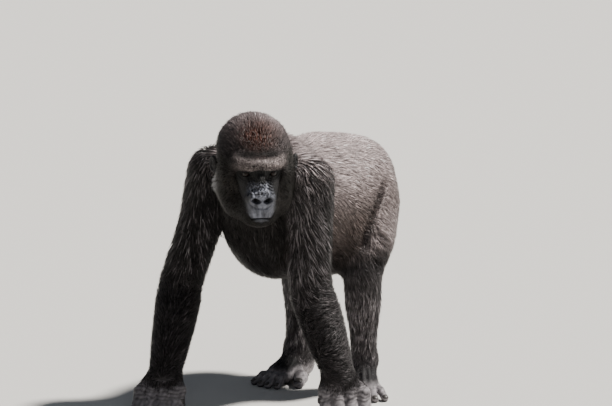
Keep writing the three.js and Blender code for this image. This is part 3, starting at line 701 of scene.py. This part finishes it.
def skin_colour(P, W, depth):
    l, f, u = head_coords(P).T
    c = SKIN_C + np.zeros((len(P), 3))
    # painted sheen on the bare muzzle: its black skin painted pale bluish grey as a reflection of the sky, brighter on
    # top of the nose as painted highlight, with painted shade in the creases of the bridge and the fine lines of the
    # lips
    reach = np.interp(u, [-124, -104, -76, -50, -30, -12], [20, 27, 29, 28, 23, 15])
    muzzle = W[:, 2] * step(f, 72, 104) * step(-u, 12, 34) * step(reach - np.abs(l), -16, 11) * (1 - 0.75 * step(-u, 112, 118))
    rough = 0.5 + 0.5 * np.sin((u + 0.62 * np.abs(l) + 2.5 * wobble(P, 34, 3)) * 2 * math.pi / 7.2)
    rough = np.clip(rough + 0.8 * wobble(P, 7, 33), 0, 1) * step(u, -56, -44)
    lines = 0.5 + 0.5 * wobble(P * V(1, 1, 0.25), 6, 35)
    shade_ = (0.78 + 0.30 * wobble(P, 22, 31)) * (1 - 0.90 * rough) * (1 - 0.35 * lines * step(-u, 70, 80))
    c = c + (np.array([0.165, 0.172, 0.205]) * (1 + 0.5 * step(u, -58, -46))[:, None] * np.clip(shade_, 0.02, 1.3)[:, None] - c) * muzzle[:, None]
    # the upper lip a little paler: painted sheen
    lip = W[:, 2] * bump(u + 101, 7) * step(-np.abs(l), -34, -20) * step(f, 90, 105)
    c = c * (1 + 0.25 * lip)[:, None]
    # painted shade in the line of the closed mouth
    mouth = W[:, 2] * bump(u + 111 + 0.009 * l * l, 2.8) * step(-np.abs(l), -30, -21) * step(f, 84, 96)
    c = c * (1 - 0.85 * mouth)[:, None]
    for s in (1, -1):
        x, y = (l - s * 14.5) * 0.94 + (u + 60) * 0.34 * s, (u + 60) * 0.94 - (l - s * 14.5) * 0.34 * s
        # painted shade inside each nostril
        hole = np.exp(-((x / 10.0) ** 2 + ((y + 1.0) / 6.8) ** 2) ** 1.7) * step(f, 96, 108) * W[:, 2]
        c = c * (1 - 0.93 * hole)[:, None]
        # painted shade over each eye socket, under the brow
        eye = np.exp(-(np.hypot((l - s * EYE_L) / 1.7, u - EYE_U + 1) / 20) ** 4) * W[:, 2] * step(f, 40, 52)
        c = c * (1 - 0.93 * eye)[:, None]
    under = hair_colour(P, W) * 0.5
    m = step(depth, 2.0, 7.0)
    c = c * (1 - m)[:, None] + under * fold_shade(P)[:, None] * m[:, None]
    # hands and feet have pale, worn skin, paled further by painted light on the backs of the hands and tops of the
    # feet, with painted shade in the furrows
    z = P[:, 2]
    pale = np.array([0.30, 0.275, 0.285])
    a = W[:, 5] * step(-z, -122, -88) * (0.70 + 0.22 * wobble(P, 17, 41))
    furrow = 0.5 + 0.5 * np.sin((z + 4.5 * wobble(P, 38, 71)) * 2 * math.pi / 10.5)
    c = c + (pale * (1 - 0.55 * furrow ** 2 * step(z, 22, 40))[:, None] - c) * np.clip(a, 0, 1)[:, None]
    b = W[:, 8] * step(-z, -52, -30) * (0.70 + 0.30 * wobble(P, 13, 43))
    c = c + (pale * 1.05 - c) * np.clip(b, 0, 1)[:, None]
    sole = (W[:, 5] + W[:, 8]) * step(-z, -7, -2)
    return c + (np.array([0.030, 0.027, 0.027]) - c) * np.clip(sole, 0, 1)[:, None]


col = skin_colour(v, W_v, depth * (1 - naked))
bare = 1 - step(depth * (1 - naked), 1.5, 5.0)


def new_object(name, verts, faces, body="root"):
    me = bpy.data.meshes.new(name)
    me.from_pydata(((verts - ORIGIN) / 1000.0).tolist(), [], faces)
    me.validate()
    ob = bpy.data.objects.new(name, me)
    bpy.context.scene.collection.objects.link(ob)
    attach(ob, body)
    return ob


def set_colour(me, name, rgb):
    a = me.color_attributes.new(name, "FLOAT_COLOR", "POINT")
    buf = np.ones((len(me.vertices), 4), np.float32)
    buf[:, :3] = np.clip(rgb, 0, 1)
    a.data.foreach_set("color", buf.ravel())


def set_float(me, name, val):
    a = me.attributes.new(name, "FLOAT", "POINT")
    a.data.foreach_set("value", np.asarray(val, np.float32))


skin = new_object("skin", v, faces)
skin.data.polygons.foreach_set("use_smooth", np.ones(len(skin.data.polygons), bool))
set_colour(skin.data, "tone", col)
set_float(skin.data, "bare", bare)
skin.data.update()


# ------------------------------------------------------------------ coat
def flow(P, N, W):
    """the way the hair lies at each point, along the skin"""
    l, f, u = head_coords(P).T
    x, y, z = P.T
    sgn = np.sign(x + 1e-6)
    n = len(P)
    one = np.ones(n)
    side = np.clip(np.abs(N[:, 0]), 0, 1)
    # trunk: backwards over the spine, back and down over the flanks, down on the breast
    t = np.stack([0.10 * sgn, 1.0 * one, -0.15 - 0.55 * side], 1)
    frontish = step(-y, 235, 300)
    t = t * (1 - frontish)[:, None] + np.stack([0.15 * sgn, 0.15 * one, -1.0 * one], 1) * frontish[:, None]
    rump = step(y, 170, 240)
    t = t * (1 - rump)[:, None] + np.stack([0.1 * sgn, 0.25 * one, -1.0 * one], 1) * rump[:, None]
    neck_ = -F[None, :] * 0.5 + np.array([0, 0.55, -0.75])[None, :] + np.zeros((n, 3))
    # head: up and back from the brow, down and back on the cheeks, down on the chin
    up_back = (-F * 0.75 + U * 0.55)[None, :] + np.clip(l / 75, -0.9, 0.9)[:, None] * L[None, :]
    down_back = (-F * 0.55 - U * 0.85)[None, :] + 0.25 * np.sign(l)[:, None] * L[None, :]
    k = step(-u, -18, 22)[:, None]
    hd = up_back * (1 - k) + down_back * k
    chin = (step(-u, 84, 112) * step(f, 30, 70))[:, None]
    hd = hd * (1 - chin) + (-U * 1.0 + F * 0.1)[None, :] * chin
    napeward = step(-f, 40, 90)[:, None]
    hd = hd * (1 - napeward) + (-U * 0.9 - F * 0.5)[None, :] * napeward
    upper = np.stack([0.12 * sgn, 0.55 * one, -0.85 * one], 1)
    upR = np.stack([-0.1 * one, 0.40 * one, -0.9 * one], 1)
    upper = np.where((x < 0)[:, None], upR, upper)
    fore = np.stack([0.25 * sgn, 0.8 * one, 0.45 * one], 1)
    hnd = np.stack([0.0 * one, -0.5 * one, -0.8 * one], 1)
    thigh = np.stack([0.1 * sgn, 0.45 * one, -0.9 * one], 1)
    shin = np.stack([0.0 * one, 0.12 * one, -1.0 * one], 1)
    ft = np.stack([0.1 * sgn, -0.7 * one, -0.5 * one], 1)
    fields = [t, neck_, hd, upper, fore, hnd, thigh, shin, ft]
    d = sum(W[:, i:i + 1] * unit_rows(p) for i, p in enumerate(fields))
    # slow swirls
    d = unit_rows(d) + 0.22 * np.stack([wobble(P, 120, 51), wobble(P, 120, 52), wobble(P, 120, 53)], 1)
    d = d - (d * N).sum(1, keepdims=True) * N
    return unit_rows(d)


me = skin.data
me.calc_loop_triangles()
tri = np.zeros(len(me.loop_triangles) * 3, np.int32)
me.loop_triangles.foreach_get("vertices", tri)
tri = tri.reshape(-1, 3)
A, B, C = v[tri[:, 0]], v[tri[:, 1]], v[tri[:, 2]]
area = np.linalg.norm(np.cross(B - A, C - A), axis=1) / 2
tri_depth = depth[tri].mean(1)
tri_centre = (A + B + C) / 3
tl, tf, tu = head_coords(tri_centre).T
headness = W_v[tri][:, :, 2].mean(1)
tri_naked = naked[tri].mean(1)
density = step(tri_depth, 1.0, 3.0) * (1 + 1.5 * headness) * (1 + 0.8 * bump(tri_depth - 4, 4))
density *= step(-tri_naked, -0.75, -0.15)
# the ears stand clear of the coat
for s_ in (1, -1):
    c_, ax_ = ear_frame(s_)
    q_ = (tri_centre - c_) @ ax_.T
    e_ = np.hypot(q_[:, 0] / 21, q_[:, 2] / 28)
    density *= np.where((np.abs(tl) > 84) & (tl * s_ > 0), step(e_, 0.55, 1.05), 1)
density *= (tri_centre[:, 2] > 26)
hf = W_v[tri][:, :, (5, 8)].sum(2).mean(1)
density *= 1 - 0.86 * hf * step(-tri_centre[:, 2], -104, -64)
TOTAL = 162000
share = area * density
n_per = share / share.sum() * TOTAL
count = np.floor(n_per + rng.random(len(n_per))).astype(int)
pick = np.repeat(np.arange(len(tri)), count)
r1, r2 = np.sqrt(rng.random(len(pick))), rng.random(len(pick))
wa, wb, wc = 1 - r1, r1 * (1 - r2), r1 * r2
roots = A[pick] * wa[:, None] + B[pick] * wb[:, None] + C[pick] * wc[:, None]
root_n = unit_rows(np.cross(B - A, C - A))[pick]
W_r = W_v[tri[pick, 0]] * wa[:, None] + W_v[tri[pick, 1]] * wb[:, None] + W_v[tri[pick, 2]] * wc[:, None]
W_r = W_r / W_r.sum(1, keepdims=True)
dep = depth[tri[pick, 0]] * wa + depth[tri[pick, 1]] * wb + depth[tri[pick, 2]] * wc
nkd = naked[tri[pick, 0]] * wa + naked[tri[pick, 1]] * wb + naked[tri[pick, 2]] * wc
l_, f_h, u_ = head_coords(roots).T
# hair shortens towards the bare face, and about the ears
short = 1 - 0.7 * step(nkd, 0.02, 0.5)
earless = np.ones(len(roots))
for s_ in (1, -1):
    c_, ax_ = ear_frame(s_)
    q_ = (roots - c_) @ ax_.T
    earless = np.minimum(earless, np.where(l_ * s_ > 60, step(np.linalg.norm(q_ * V(1, 0.7, 0.8), axis=1), 18, 40), 1))
short *= 0.35 + 0.65 * earless
short *= 1 - 0.55 * bump(u_ - 46, 14) * step(f_h, 40, 60)
lie = flow(roots, root_n, W_r)
tone = hair_colour(roots, W_r)
n_t = len(roots)
print("tufts", n_t, "skin faces", len(me.polygons), "skin verts", len(v))

# length, height and thickness of each tuft, mm
armness, shinness = W_r[:, 3], W_r[:, 7]
length = (dep * (2.1 - 0.75 * W_r[:, 2] - 0.35 * W_r[:, 4] + 0.55 * armness + 0.35 * shinness + 0.25 * W_r[:, 0] - 0.5 * W_r[:, 1]) * rng.uniform(0.7, 1.2, n_t) + 3.5) * short
wid = np.clip(0.62 + 0.040 * dep, 0.6, 1.5) * rng.uniform(0.75, 1.25, n_t) * (0.6 + 0.4 * short)
side = unit_rows(np.cross(root_n, lie))
sway = rng.normal(0, 0.15, n_t)[:, None] * (0.7 + 0.5 * armness[:, None])
lie = unit_rows(lie + side * sway)
side = unit_rows(np.cross(root_n, lie))
spread = 0.29 + 0.40 * armness + 0.22 * W_r[:, 4] + 0.34 * shinness + 0.16 * W_r[:, 2]
ways = [V(0, 1, -0.25), V(0, 0.6, -0.75), V(0, 0, 1), V(0.05, 0.50, -0.87), V(0.2, 0.8, 0.45), V(0, 0.5, 0.8), V(0, 0.45, -0.9), V(0, 0.12, -1), V(0, 0.8, 0.5)]
strand = sum(W_r[:, i] * wobble(roots - 0.88 * (roots @ unit(w))[:, None] * unit(w), 8.5, 61 + i) for i, w in enumerate(ways))
streak = strand * (0.13 + 0.75 * armness + 0.30 * W_r[:, 4] + 0.55 * shinness - 0.16 * W_r[:, 2])
tone = tone * np.exp(rng.normal(0, 1, n_t) * spread + streak)[:, None]
# a pale tuft of whiskers under the right ear
c_, ax_ = ear_frame(-1)
whisk = np.exp(-(np.linalg.norm(roots - h(-101, 0, -40), axis=1) / 27) ** 4)
tone = tone + (np.array([0.42, 0.42, 0.43]) - tone) * (whisk * 0.85 * (rng.random(n_t) < 0.85))[:, None]
# grey hairs and painted glints: scattered pale tufts, most on the arms and shins, partly standing in for sun glinting
# on black hair
grey_and_glint = rng.random(n_t) < 0.03 + 0.05 * W_r[:, 0] + 0.15 * W_r[:, 7] * (1 + strand) + 0.20 * W_r[:, 3] * (1 + strand) + 0.06 * W_r[:, 4]
grey_and_glint &= W_r[:, 2] * rng.random(n_t) < 0.3
# painted shade on the right arm: fewer pale glinting tufts and a darker coat than on the left
grey_and_glint &= ~((roots[:, 0] < -60) & (armness > 0.3) & (rng.random(n_t) < 0.6))
tone = tone * (1 - 0.42 * armness * step(-roots[:, 0], 40, 90))[:, None]
tone = np.where(grey_and_glint[:, None], tone * 2.0 + np.array([0.040, 0.037, 0.039]) * (1 + 2.4 * armness + 1.3 * shinness)[:, None], tone)


def on_field(X, height):
    """points drawn to a given height over the skin, as a share of the coat's depth"""
    want = -(1 - height) * dep
    for _ in range(2):
        d0 = field_at(BODY, X, 0.0, 45)
        g = np.stack([field_at(BODY, X + e, 0.0, 45) - d0 for e in np.eye(3) * 0.8], 1)
        X = X - unit_rows(g) * np.clip(d0 - want, -14, 14)[:, None]
    return X


rise = np.clip(rng.beta(3.2, 1.5, n_t), 0.15, 1.0) * short
rise = rise * (1 + 0.24 * W_r[:, 2] * step(u_, 40, 70) * rng.random(n_t))
tips = on_field(roots + (lie * 0.97 + root_n * 0.22) * length[:, None], rise)
mids = on_field(roots + (lie * 0.94 + root_n * 0.30) * (length * 0.42)[:, None], np.clip(rise * 0.62, 0, 1))
tips = tips + root_n * folds(tips)[:, None]
mids = mids + root_n * folds(mids)[:, None]
tips = tips + root_n * (whisk * rng.uniform(2, 12, n_t))[:, None]
shade_mid, shade_tip = fold_shade(mids), fold_shade(tips)


def tufts(name, sel):
    """closed locks: a foot set in the skin, a flattened middle, and a point at the surface of the coat"""
    m = len(sel)
    P, N, S = roots[sel], root_n[sel], side[sel]
    Wd = wid[sel][:, None]
    verts = np.zeros((m, 5, 3))
    verts[:, 0] = P - N * 1.5
    for i, ang in enumerate((0.5, 2.5944, 4.6888)):
        verts[:, 1 + i] = mids[sel] + (S * math.cos(ang) + N * math.sin(ang) * 0.6) * Wd
    verts[:, 4] = tips[sel]
    verts[:, :, 2] = np.maximum(verts[:, :, 2], 1.0)
    base = (np.arange(m) * 5)[:, None, None]
    pat = np.array([[0, 2, 1], [0, 3, 2], [0, 1, 3], [1, 2, 4], [2, 3, 4], [3, 1, 4]])
    f_ = (base + pat[None]).reshape(-1, 3).astype(np.int32)
    vv = ((verts.reshape(-1, 3) - ORIGIN) / 1000.0).astype(np.float32)
    me = bpy.data.meshes.new(name)
    me.vertices.add(len(vv))
    me.vertices.foreach_set("co", vv.ravel())
    me.loops.add(f_.size)
    me.loops.foreach_set("vertex_index", f_.ravel())
    me.polygons.add(len(f_))
    me.polygons.foreach_set("loop_start", np.arange(0, f_.size, 3, dtype=np.int32))
    me.polygons.foreach_set("loop_total", np.full(len(f_), 3, np.int32))
    me.polygons.foreach_set("use_smooth", np.ones(len(f_), bool))
    me.update(calc_edges=True)
    shade = np.tile(np.array([0.45, 0.9, 0.9, 0.9, 1.22])[None, :], (m, 1))
    shade[:, 1:4] *= shade_mid[sel][:, None]
    shade[:, 4] *= shade_tip[sel]
    c = np.repeat(tone[sel], 5, axis=0) * shade.reshape(-1, 1)
    set_colour(me, "tone", c)
    # a small patch of the unwrap of the skin, at the tuft's root
    uv0 = root_uv[sel]
    du = np.tile(np.array([.5, 0, .5, 1, .5])[None], (m, 1)) * 0.003 - 0.0015
    dv = np.tile(np.array([0, .45, .55, .45, 1])[None], (m, 1)) * 0.003 - 0.0015
    uv_v = np.stack([uv0[:, :1] + du, uv0[:, 1:] + dv], 2).reshape(-1, 2).astype(np.float32)
    layer = me.uv_layers.new(name="OFBake")
    layer.data.foreach_set("uv", uv_v[f_.ravel()].ravel())
    ob = bpy.data.objects.new(name, me)
    bpy.context.scene.collection.objects.link(ob)
    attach(ob, "root")
    return ob


def unwrap(P, W):
    """each region of the skin rolled out round its own axis into its own tile"""
    reg = W.argmax(1)
    uv = np.zeros((len(P), 2))

    def roll(mask, o, axis, ref, length_, tile):
        if not mask.any():
            return
        z_ = unit(axis)
        x_ = unit(ref - (np.asarray(ref) @ z_) * z_)
        y_ = np.cross(z_, x_)
        q_ = P[mask] - o
        ang = np.arctan2(q_ @ y_, q_ @ x_) / (2 * math.pi) + 0.5
        s = np.clip((q_ @ z_) / length_, 0.002, 0.998)
        uv[mask, 0] = tile[0] + (0.01 + 0.98 * ang) * tile[2]
        uv[mask, 1] = tile[1] + (0.01 + 0.98 * s) * tile[3]
    left = P[:, 0] > 0
    roll((reg == 0) | ((reg == 6)), V(0, -400, 540), V(0, 1, 0), V(0, 0, -1), 700, (0.0, 0.0, 0.62, 0.5))
    roll(reg == 1, V(0, -160, 600), V(0.2, -0.8, 0.45), V(0, 0, -1), 420, (0.0, 0.5, 0.5, 0.2))
    roll(reg == 2, HC - U * 170, U, -F, 330, (0.0, 0.7, 0.62, 0.3))
    for k, (a, m) in enumerate(((RIGHT_ARM, ~left), (LEFT_ARM, left))):
        roll(((reg == 3)) & m, a["S"] + V(0, 0, 110), a["E"] - a["S"] - V(0, 0, 60), V(-a["side"], 0, 0), 460, (0.63 + 0.18 * k, 0.0, 0.17, 0.30))
        roll(((reg == 4) | (reg == 5)) & m, a["E"] + V(0, 0, 60), a["W"] - a["E"], V(-a["side"], 0, 0), 420, (0.63 + 0.18 * k, 0.31, 0.17, 0.25))
    for k, (a, m) in enumerate(((RIGHT_LEG, ~left), (LEFT_LEG, left))):
        roll(((reg == 7) | (reg == 8)) & m, a["K"] + V(0, 0, 60), a["A"] - a["K"], V(-a["side"], 0, 0), 420, (0.63 + 0.18 * k, 0.60, 0.17, 0.38))
    return uv


root_uv = unwrap(roots, W_r)
region = W_r.argmax(1)
left = roots[:, 0] > 0
pieces = {
    "coat_head": np.isin(region, (1, 2)),
    "coat_back": np.isin(region, (0, 6)) & (roots[:, 2] >= 560),
    "coat_belly": np.isin(region, (0, 6)) & (roots[:, 2] < 560),
    "coat_arm_l": np.isin(region, (3, 4, 5)) & left,
    "coat_arm_r": np.isin(region, (3, 4, 5)) & ~left,
    "coat_legs": np.isin(region, (7, 8)),
}
coats = []
for name, mask in pieces.items():
    sel = np.nonzero(mask)[0]
    print(name, len(sel), "tufts", 6 * len(sel), "triangles")
    half = math.ceil(6 * len(sel) / 198000)
    for i in range(half):
        part = sel[i::half]
        if len(part):
            coats.append(tufts(name + ("" if half == 1 else f"_{i + 1}"), part))


# ------------------------------------------------------------------ eyes and nails
def ball(name, c, r, axis):
    """an eyeball, its front standing a little proud, with rings from pupil to white"""
    z_ = unit(axis)
    x_ = unit(np.cross(V(0, 0, 1), z_))
    y_ = np.cross(z_, x_)
    rows, cols = 28, 40
    vs, fs, kind = [], [], []
    for i in range(rows + 1):
        th = math.pi * i / rows
        for j in range(cols):
            ph = 2 * math.pi * j / cols
            rr = r + 0.9 * math.exp(-(th / 0.42) ** 4)
            vs.append(c + rr * (math.cos(th) * z_ + math.sin(th) * (math.cos(ph) * x_ + math.sin(ph) * y_)))
            kind.append(th)
    for i in range(rows):
        for j in range(cols):
            a, b = i * cols + j, i * cols + (j + 1) % cols
            fs.append((a, a + cols, b + cols, b))
    ob = new_object(name, np.array(vs), fs)
    ob.data.polygons.foreach_set("use_smooth", np.ones(len(fs), bool))
    set_float(ob.data, "ring", kind)
    return ob


look = unit(F * 0.97 + U * 0.02 + L * -0.05)
eyes = [ball("eyeball_l", h(EYE_L, EYE_F, EYE_U), EYE_R - 0.4, look), ball("eyeball_r", h(-EYE_L, EYE_F, EYE_U), EYE_R - 0.4, look)]


def nail(name, items):
    """short broad nails, domed across and curved over the end of each finger and toe"""
    vs, fs = [], []
    nu, nv = 8, 8
    for (c, out, along, r) in items:
        out, along = unit(out), unit(along)
        out = unit(out - (out @ along) * along)
        across = np.cross(along, out)
        o = len(vs)
        for shell in (0, 1):
            for i in range(nu + 1):
                for j in range(nv + 1):
                    a = (i / nu - 0.5) * 1.7           # across
                    b = j / nv                          # along
                    rr = r + (0.9 if shell == 0 else -1.2)
                    w = math.sqrt(max(0.0, 1 - (abs(b - 0.5) * 1.6) ** 3))
                    p = c + rr * (math.cos(a * w) * out + math.sin(a * w) * across) + along * ((b - 0.42) * r * 1.25) - out * (max(0, b - 0.6) ** 2 * r * 1.1)
                    vs.append(p)
        n1 = (nu + 1) * (nv + 1)
        for i in range(nu):
            for j in range(nv):
                a = o + i * (nv + 1) + j
                fs.append((a, a + nv + 1, a + nv + 2, a + 1))
                fs.append((a + n1, a + n1 + 1, a + n1 + nv + 2, a + n1 + nv + 1))
        ring = [o + j for j in range(nv + 1)] + [o + i * (nv + 1) + nv for i in range(1, nu + 1)] + [o + nu * (nv + 1) + j for j in range(nv - 1, -1, -1)] + [o + i * (nv + 1) for i in range(nu - 1, 0, -1)]
        for i in range(len(ring)):
            a, b = ring[i], ring[(i + 1) % len(ring)]
            fs.append((a, b, b + n1, a + n1))
    ob = new_object(name, np.array(vs), fs)
    ob.data.polygons.foreach_set("use_smooth", np.ones(len(fs), bool))
    return ob


nails = [nail("nails_feet", [x[1:] for x in ENDS if x[0] == "foot"]), nail("nails_hands", [x[1:] for x in ENDS if x[0] == "hand"])]


# ------------------------------------------------------------------ materials
def material(name):
    m = bpy.data.materials.new(name)
    m.use_nodes = True
    nt = m.node_tree
    nt.nodes.clear()
    out = nt.nodes.new("ShaderNodeOutputMaterial")
    b = nt.nodes.new("ShaderNodeBsdfPrincipled")
    nt.links.new(b.outputs[0], out.inputs[0])
    return m, nt, b


def node(nt, kind, **vals):
    n = nt.nodes.new(kind)
    for k, val in vals.items():
        if k in n.inputs:
            n.inputs[k].default_value = val
        else:
            setattr(n, k, val)
    return n


def skin_material():
    m, nt, b = material("gorilla_skin")
    tone_ = node(nt, "ShaderNodeAttribute", attribute_name="tone")
    bare_ = node(nt, "ShaderNodeAttribute", attribute_name="bare")
    co = node(nt, "ShaderNodeTexCoord")
    n1 = node(nt, "ShaderNodeTexNoise", Scale=38.0, Detail=6.0, Roughness=0.6)
    n2 = node(nt, "ShaderNodeTexVoronoi", Scale=330.0, feature="DISTANCE_TO_EDGE")
    n3 = node(nt, "ShaderNodeTexNoise", Scale=420.0, Detail=3.0, Roughness=0.6)
    for n in (n1, n2, n3):
        nt.links.new(co.outputs["Object"], n.inputs["Vector"])
    ramp = node(nt, "ShaderNodeMapRange")
    ramp.inputs["From Min"].default_value = 0.3
    ramp.inputs["From Max"].default_value = 0.7
    ramp.inputs["To Min"].default_value = 0.72
    ramp.inputs["To Max"].default_value = 1.3
    nt.links.new(n1.outputs["Fac"], ramp.inputs["Value"])
    mul = node(nt, "ShaderNodeVectorMath", operation="SCALE")
    nt.links.new(tone_.outputs["Color"], mul.inputs[0])
    nt.links.new(ramp.outputs[0], mul.inputs["Scale"])
    nt.links.new(mul.outputs[0], b.inputs["Base Color"])
    rough = node(nt, "ShaderNodeMapRange")
    rough.inputs["To Min"].default_value = 0.85
    rough.inputs["To Max"].default_value = 0.40
    nt.links.new(bare_.outputs["Fac"], rough.inputs["Value"])
    nt.links.new(rough.outputs[0], b.inputs["Roughness"])
    b.inputs["Specular IOR Level"].default_value = 0.18
    edge = node(nt, "ShaderNodeMapRange")
    edge.inputs["From Max"].default_value = 0.18
    nt.links.new(n2.outputs["Distance"], edge.inputs["Value"])
    add = node(nt, "ShaderNodeMath", operation="ADD")
    nt.links.new(edge.outputs[0], add.inputs[0])
    nt.links.new(n3.outputs["Fac"], add.inputs[1])
    bump_ = node(nt, "ShaderNodeBump", Strength=0.55, Distance=0.0009)
    nt.links.new(add.outputs[0], bump_.inputs["Height"])
    nt.links.new(bump_.outputs[0], b.inputs["Normal"])
    return m


def hair_material(name, rough):
    m, nt, b = material(name)
    tone_ = node(nt, "ShaderNodeAttribute", attribute_name="tone")
    co = node(nt, "ShaderNodeTexCoord")
    n1 = node(nt, "ShaderNodeTexNoise", Scale=55.0, Detail=4.0, Roughness=0.6)
    nt.links.new(co.outputs["Object"], n1.inputs["Vector"])
    ramp = node(nt, "ShaderNodeMapRange")
    ramp.inputs["From Min"].default_value = 0.3
    ramp.inputs["From Max"].default_value = 0.7
    ramp.inputs["To Min"].default_value = 0.75
    ramp.inputs["To Max"].default_value = 1.25
    nt.links.new(n1.outputs["Fac"], ramp.inputs["Value"])
    mul = node(nt, "ShaderNodeVectorMath", operation="SCALE")
    nt.links.new(tone_.outputs["Color"], mul.inputs[0])
    nt.links.new(ramp.outputs[0], mul.inputs["Scale"])
    nt.links.new(mul.outputs[0], b.inputs["Base Color"])
    b.inputs["Roughness"].default_value = rough
    b.inputs["Specular IOR Level"].default_value = 0.22
    return m


def eye_material():
    m, nt, b = material("eye")
    ring = node(nt, "ShaderNodeAttribute", attribute_name="ring")
    # the eye's colours, near black throughout: its own dark brown darkened further as painted shade under the brow
    cr = node(nt, "ShaderNodeValToRGB")
    e = cr.color_ramp.elements
    e[0].position, e[0].color = 0.0, (0.002, 0.002, 0.002, 1)
    e[1].position, e[1].color = 1.0, (0.012, 0.008, 0.006, 1)
    for pos, c in ((0.20, (0.002, 0.002, 0.002, 1)), (0.23, (0.016, 0.006, 0.003, 1)), (0.42, (0.010, 0.004, 0.002, 1)), (0.47, (0.002, 0.002, 0.002, 1)), (0.56, (0.005, 0.004, 0.003, 1))):
        x = cr.color_ramp.elements.new(pos)
        x.color = c
    nt.links.new(ring.outputs["Fac"], cr.inputs["Fac"])
    nt.links.new(cr.outputs["Color"], b.inputs["Base Color"])
    b.inputs["Roughness"].default_value = 0.10
    b.inputs["Specular IOR Level"].default_value = 0.20
    return m


def nail_material():
    m, nt, b = material("nail")
    co = node(nt, "ShaderNodeTexCoord")
    n1 = node(nt, "ShaderNodeTexNoise", Scale=120.0, Detail=4.0)
    nt.links.new(co.outputs["Object"], n1.inputs["Vector"])
    cr = node(nt, "ShaderNodeValToRGB")
    cr.color_ramp.elements[0].color = (0.018, 0.016, 0.016, 1)
    cr.color_ramp.elements[1].color = (0.075, 0.066, 0.062, 1)
    nt.links.new(n1.outputs["Fac"], cr.inputs["Fac"])
    nt.links.new(cr.outputs["Color"], b.inputs["Base Color"])
    b.inputs["Roughness"].default_value = 0.35
    bump_ = node(nt, "ShaderNodeBump", Strength=0.3, Distance=0.0004)
    nt.links.new(n1.outputs["Fac"], bump_.inputs["Height"])
    nt.links.new(bump_.outputs[0], b.inputs["Normal"])
    return m


skin.data.materials.append(skin_material())
hair = hair_material("gorilla_hair", 0.42)
for c in coats:
    c.data.materials.append(hair)
em, nm = eye_material(), nail_material()
for e in eyes:
    e.data.materials.append(em)
for n in nails:
    n.data.materials.append(nm)
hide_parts(*[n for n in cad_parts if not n.startswith("eye")])
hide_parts("eye_l")
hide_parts("eye_r")


# ------------------------------------------------------------------ floor and light
floor_mesh = bpy.data.meshes.new("floor")
ring = [(math.cos(i * math.pi / 24) * 60, math.sin(i * math.pi / 24) * 60, -0.0004) for i in range(48)]
floor_mesh.from_pydata(ring, [], [list(range(48))])
floor = bpy.data.objects.new("floor", floor_mesh)
bpy.context.scene.collection.objects.link(floor)
fm, fnt, fb = material("floor")
fb.inputs["Base Color"].default_value = (0.60, 0.585, 0.56, 1)
fb.inputs["Roughness"].default_value = 0.85
floor.data.materials.append(fm)

world = bpy.data.worlds.new("studio")
world.use_nodes = True
world.node_tree.nodes["Background"].inputs[0].default_value = (0.78, 0.86, 1.0, 1)
world.node_tree.nodes["Background"].inputs[1].default_value = 0.14
bpy.context.scene.world = world


def sun(name, towards, soft, power, colour=(1, 1, 1)):
    d = bpy.data.lights.new(name, "SUN")
    d.angle = math.radians(soft)
    d.energy = power
    d.color = colour
    o = bpy.data.objects.new(name, d)
    o.location = Vector(towards) * 6
    o.rotation_euler = Vector(towards).to_track_quat("Z", "Y").to_euler()
    bpy.context.scene.collection.objects.link(o)


fwd = np.array([-math.sin(AZ), math.cos(AZ), 0])
rgt = np.array([math.cos(AZ), math.sin(AZ), 0])
up = V(0, 0, 1)
sun("key", rgt * 0.66 + fwd * 0.10 + up * 1.0, 6, 8.6, (1.0, 0.97, 0.92))
sun("fill", rgt * 0.35 - fwd * 1.0 + up * 0.9, 50, 0.26, (0.90, 0.95, 1.0))
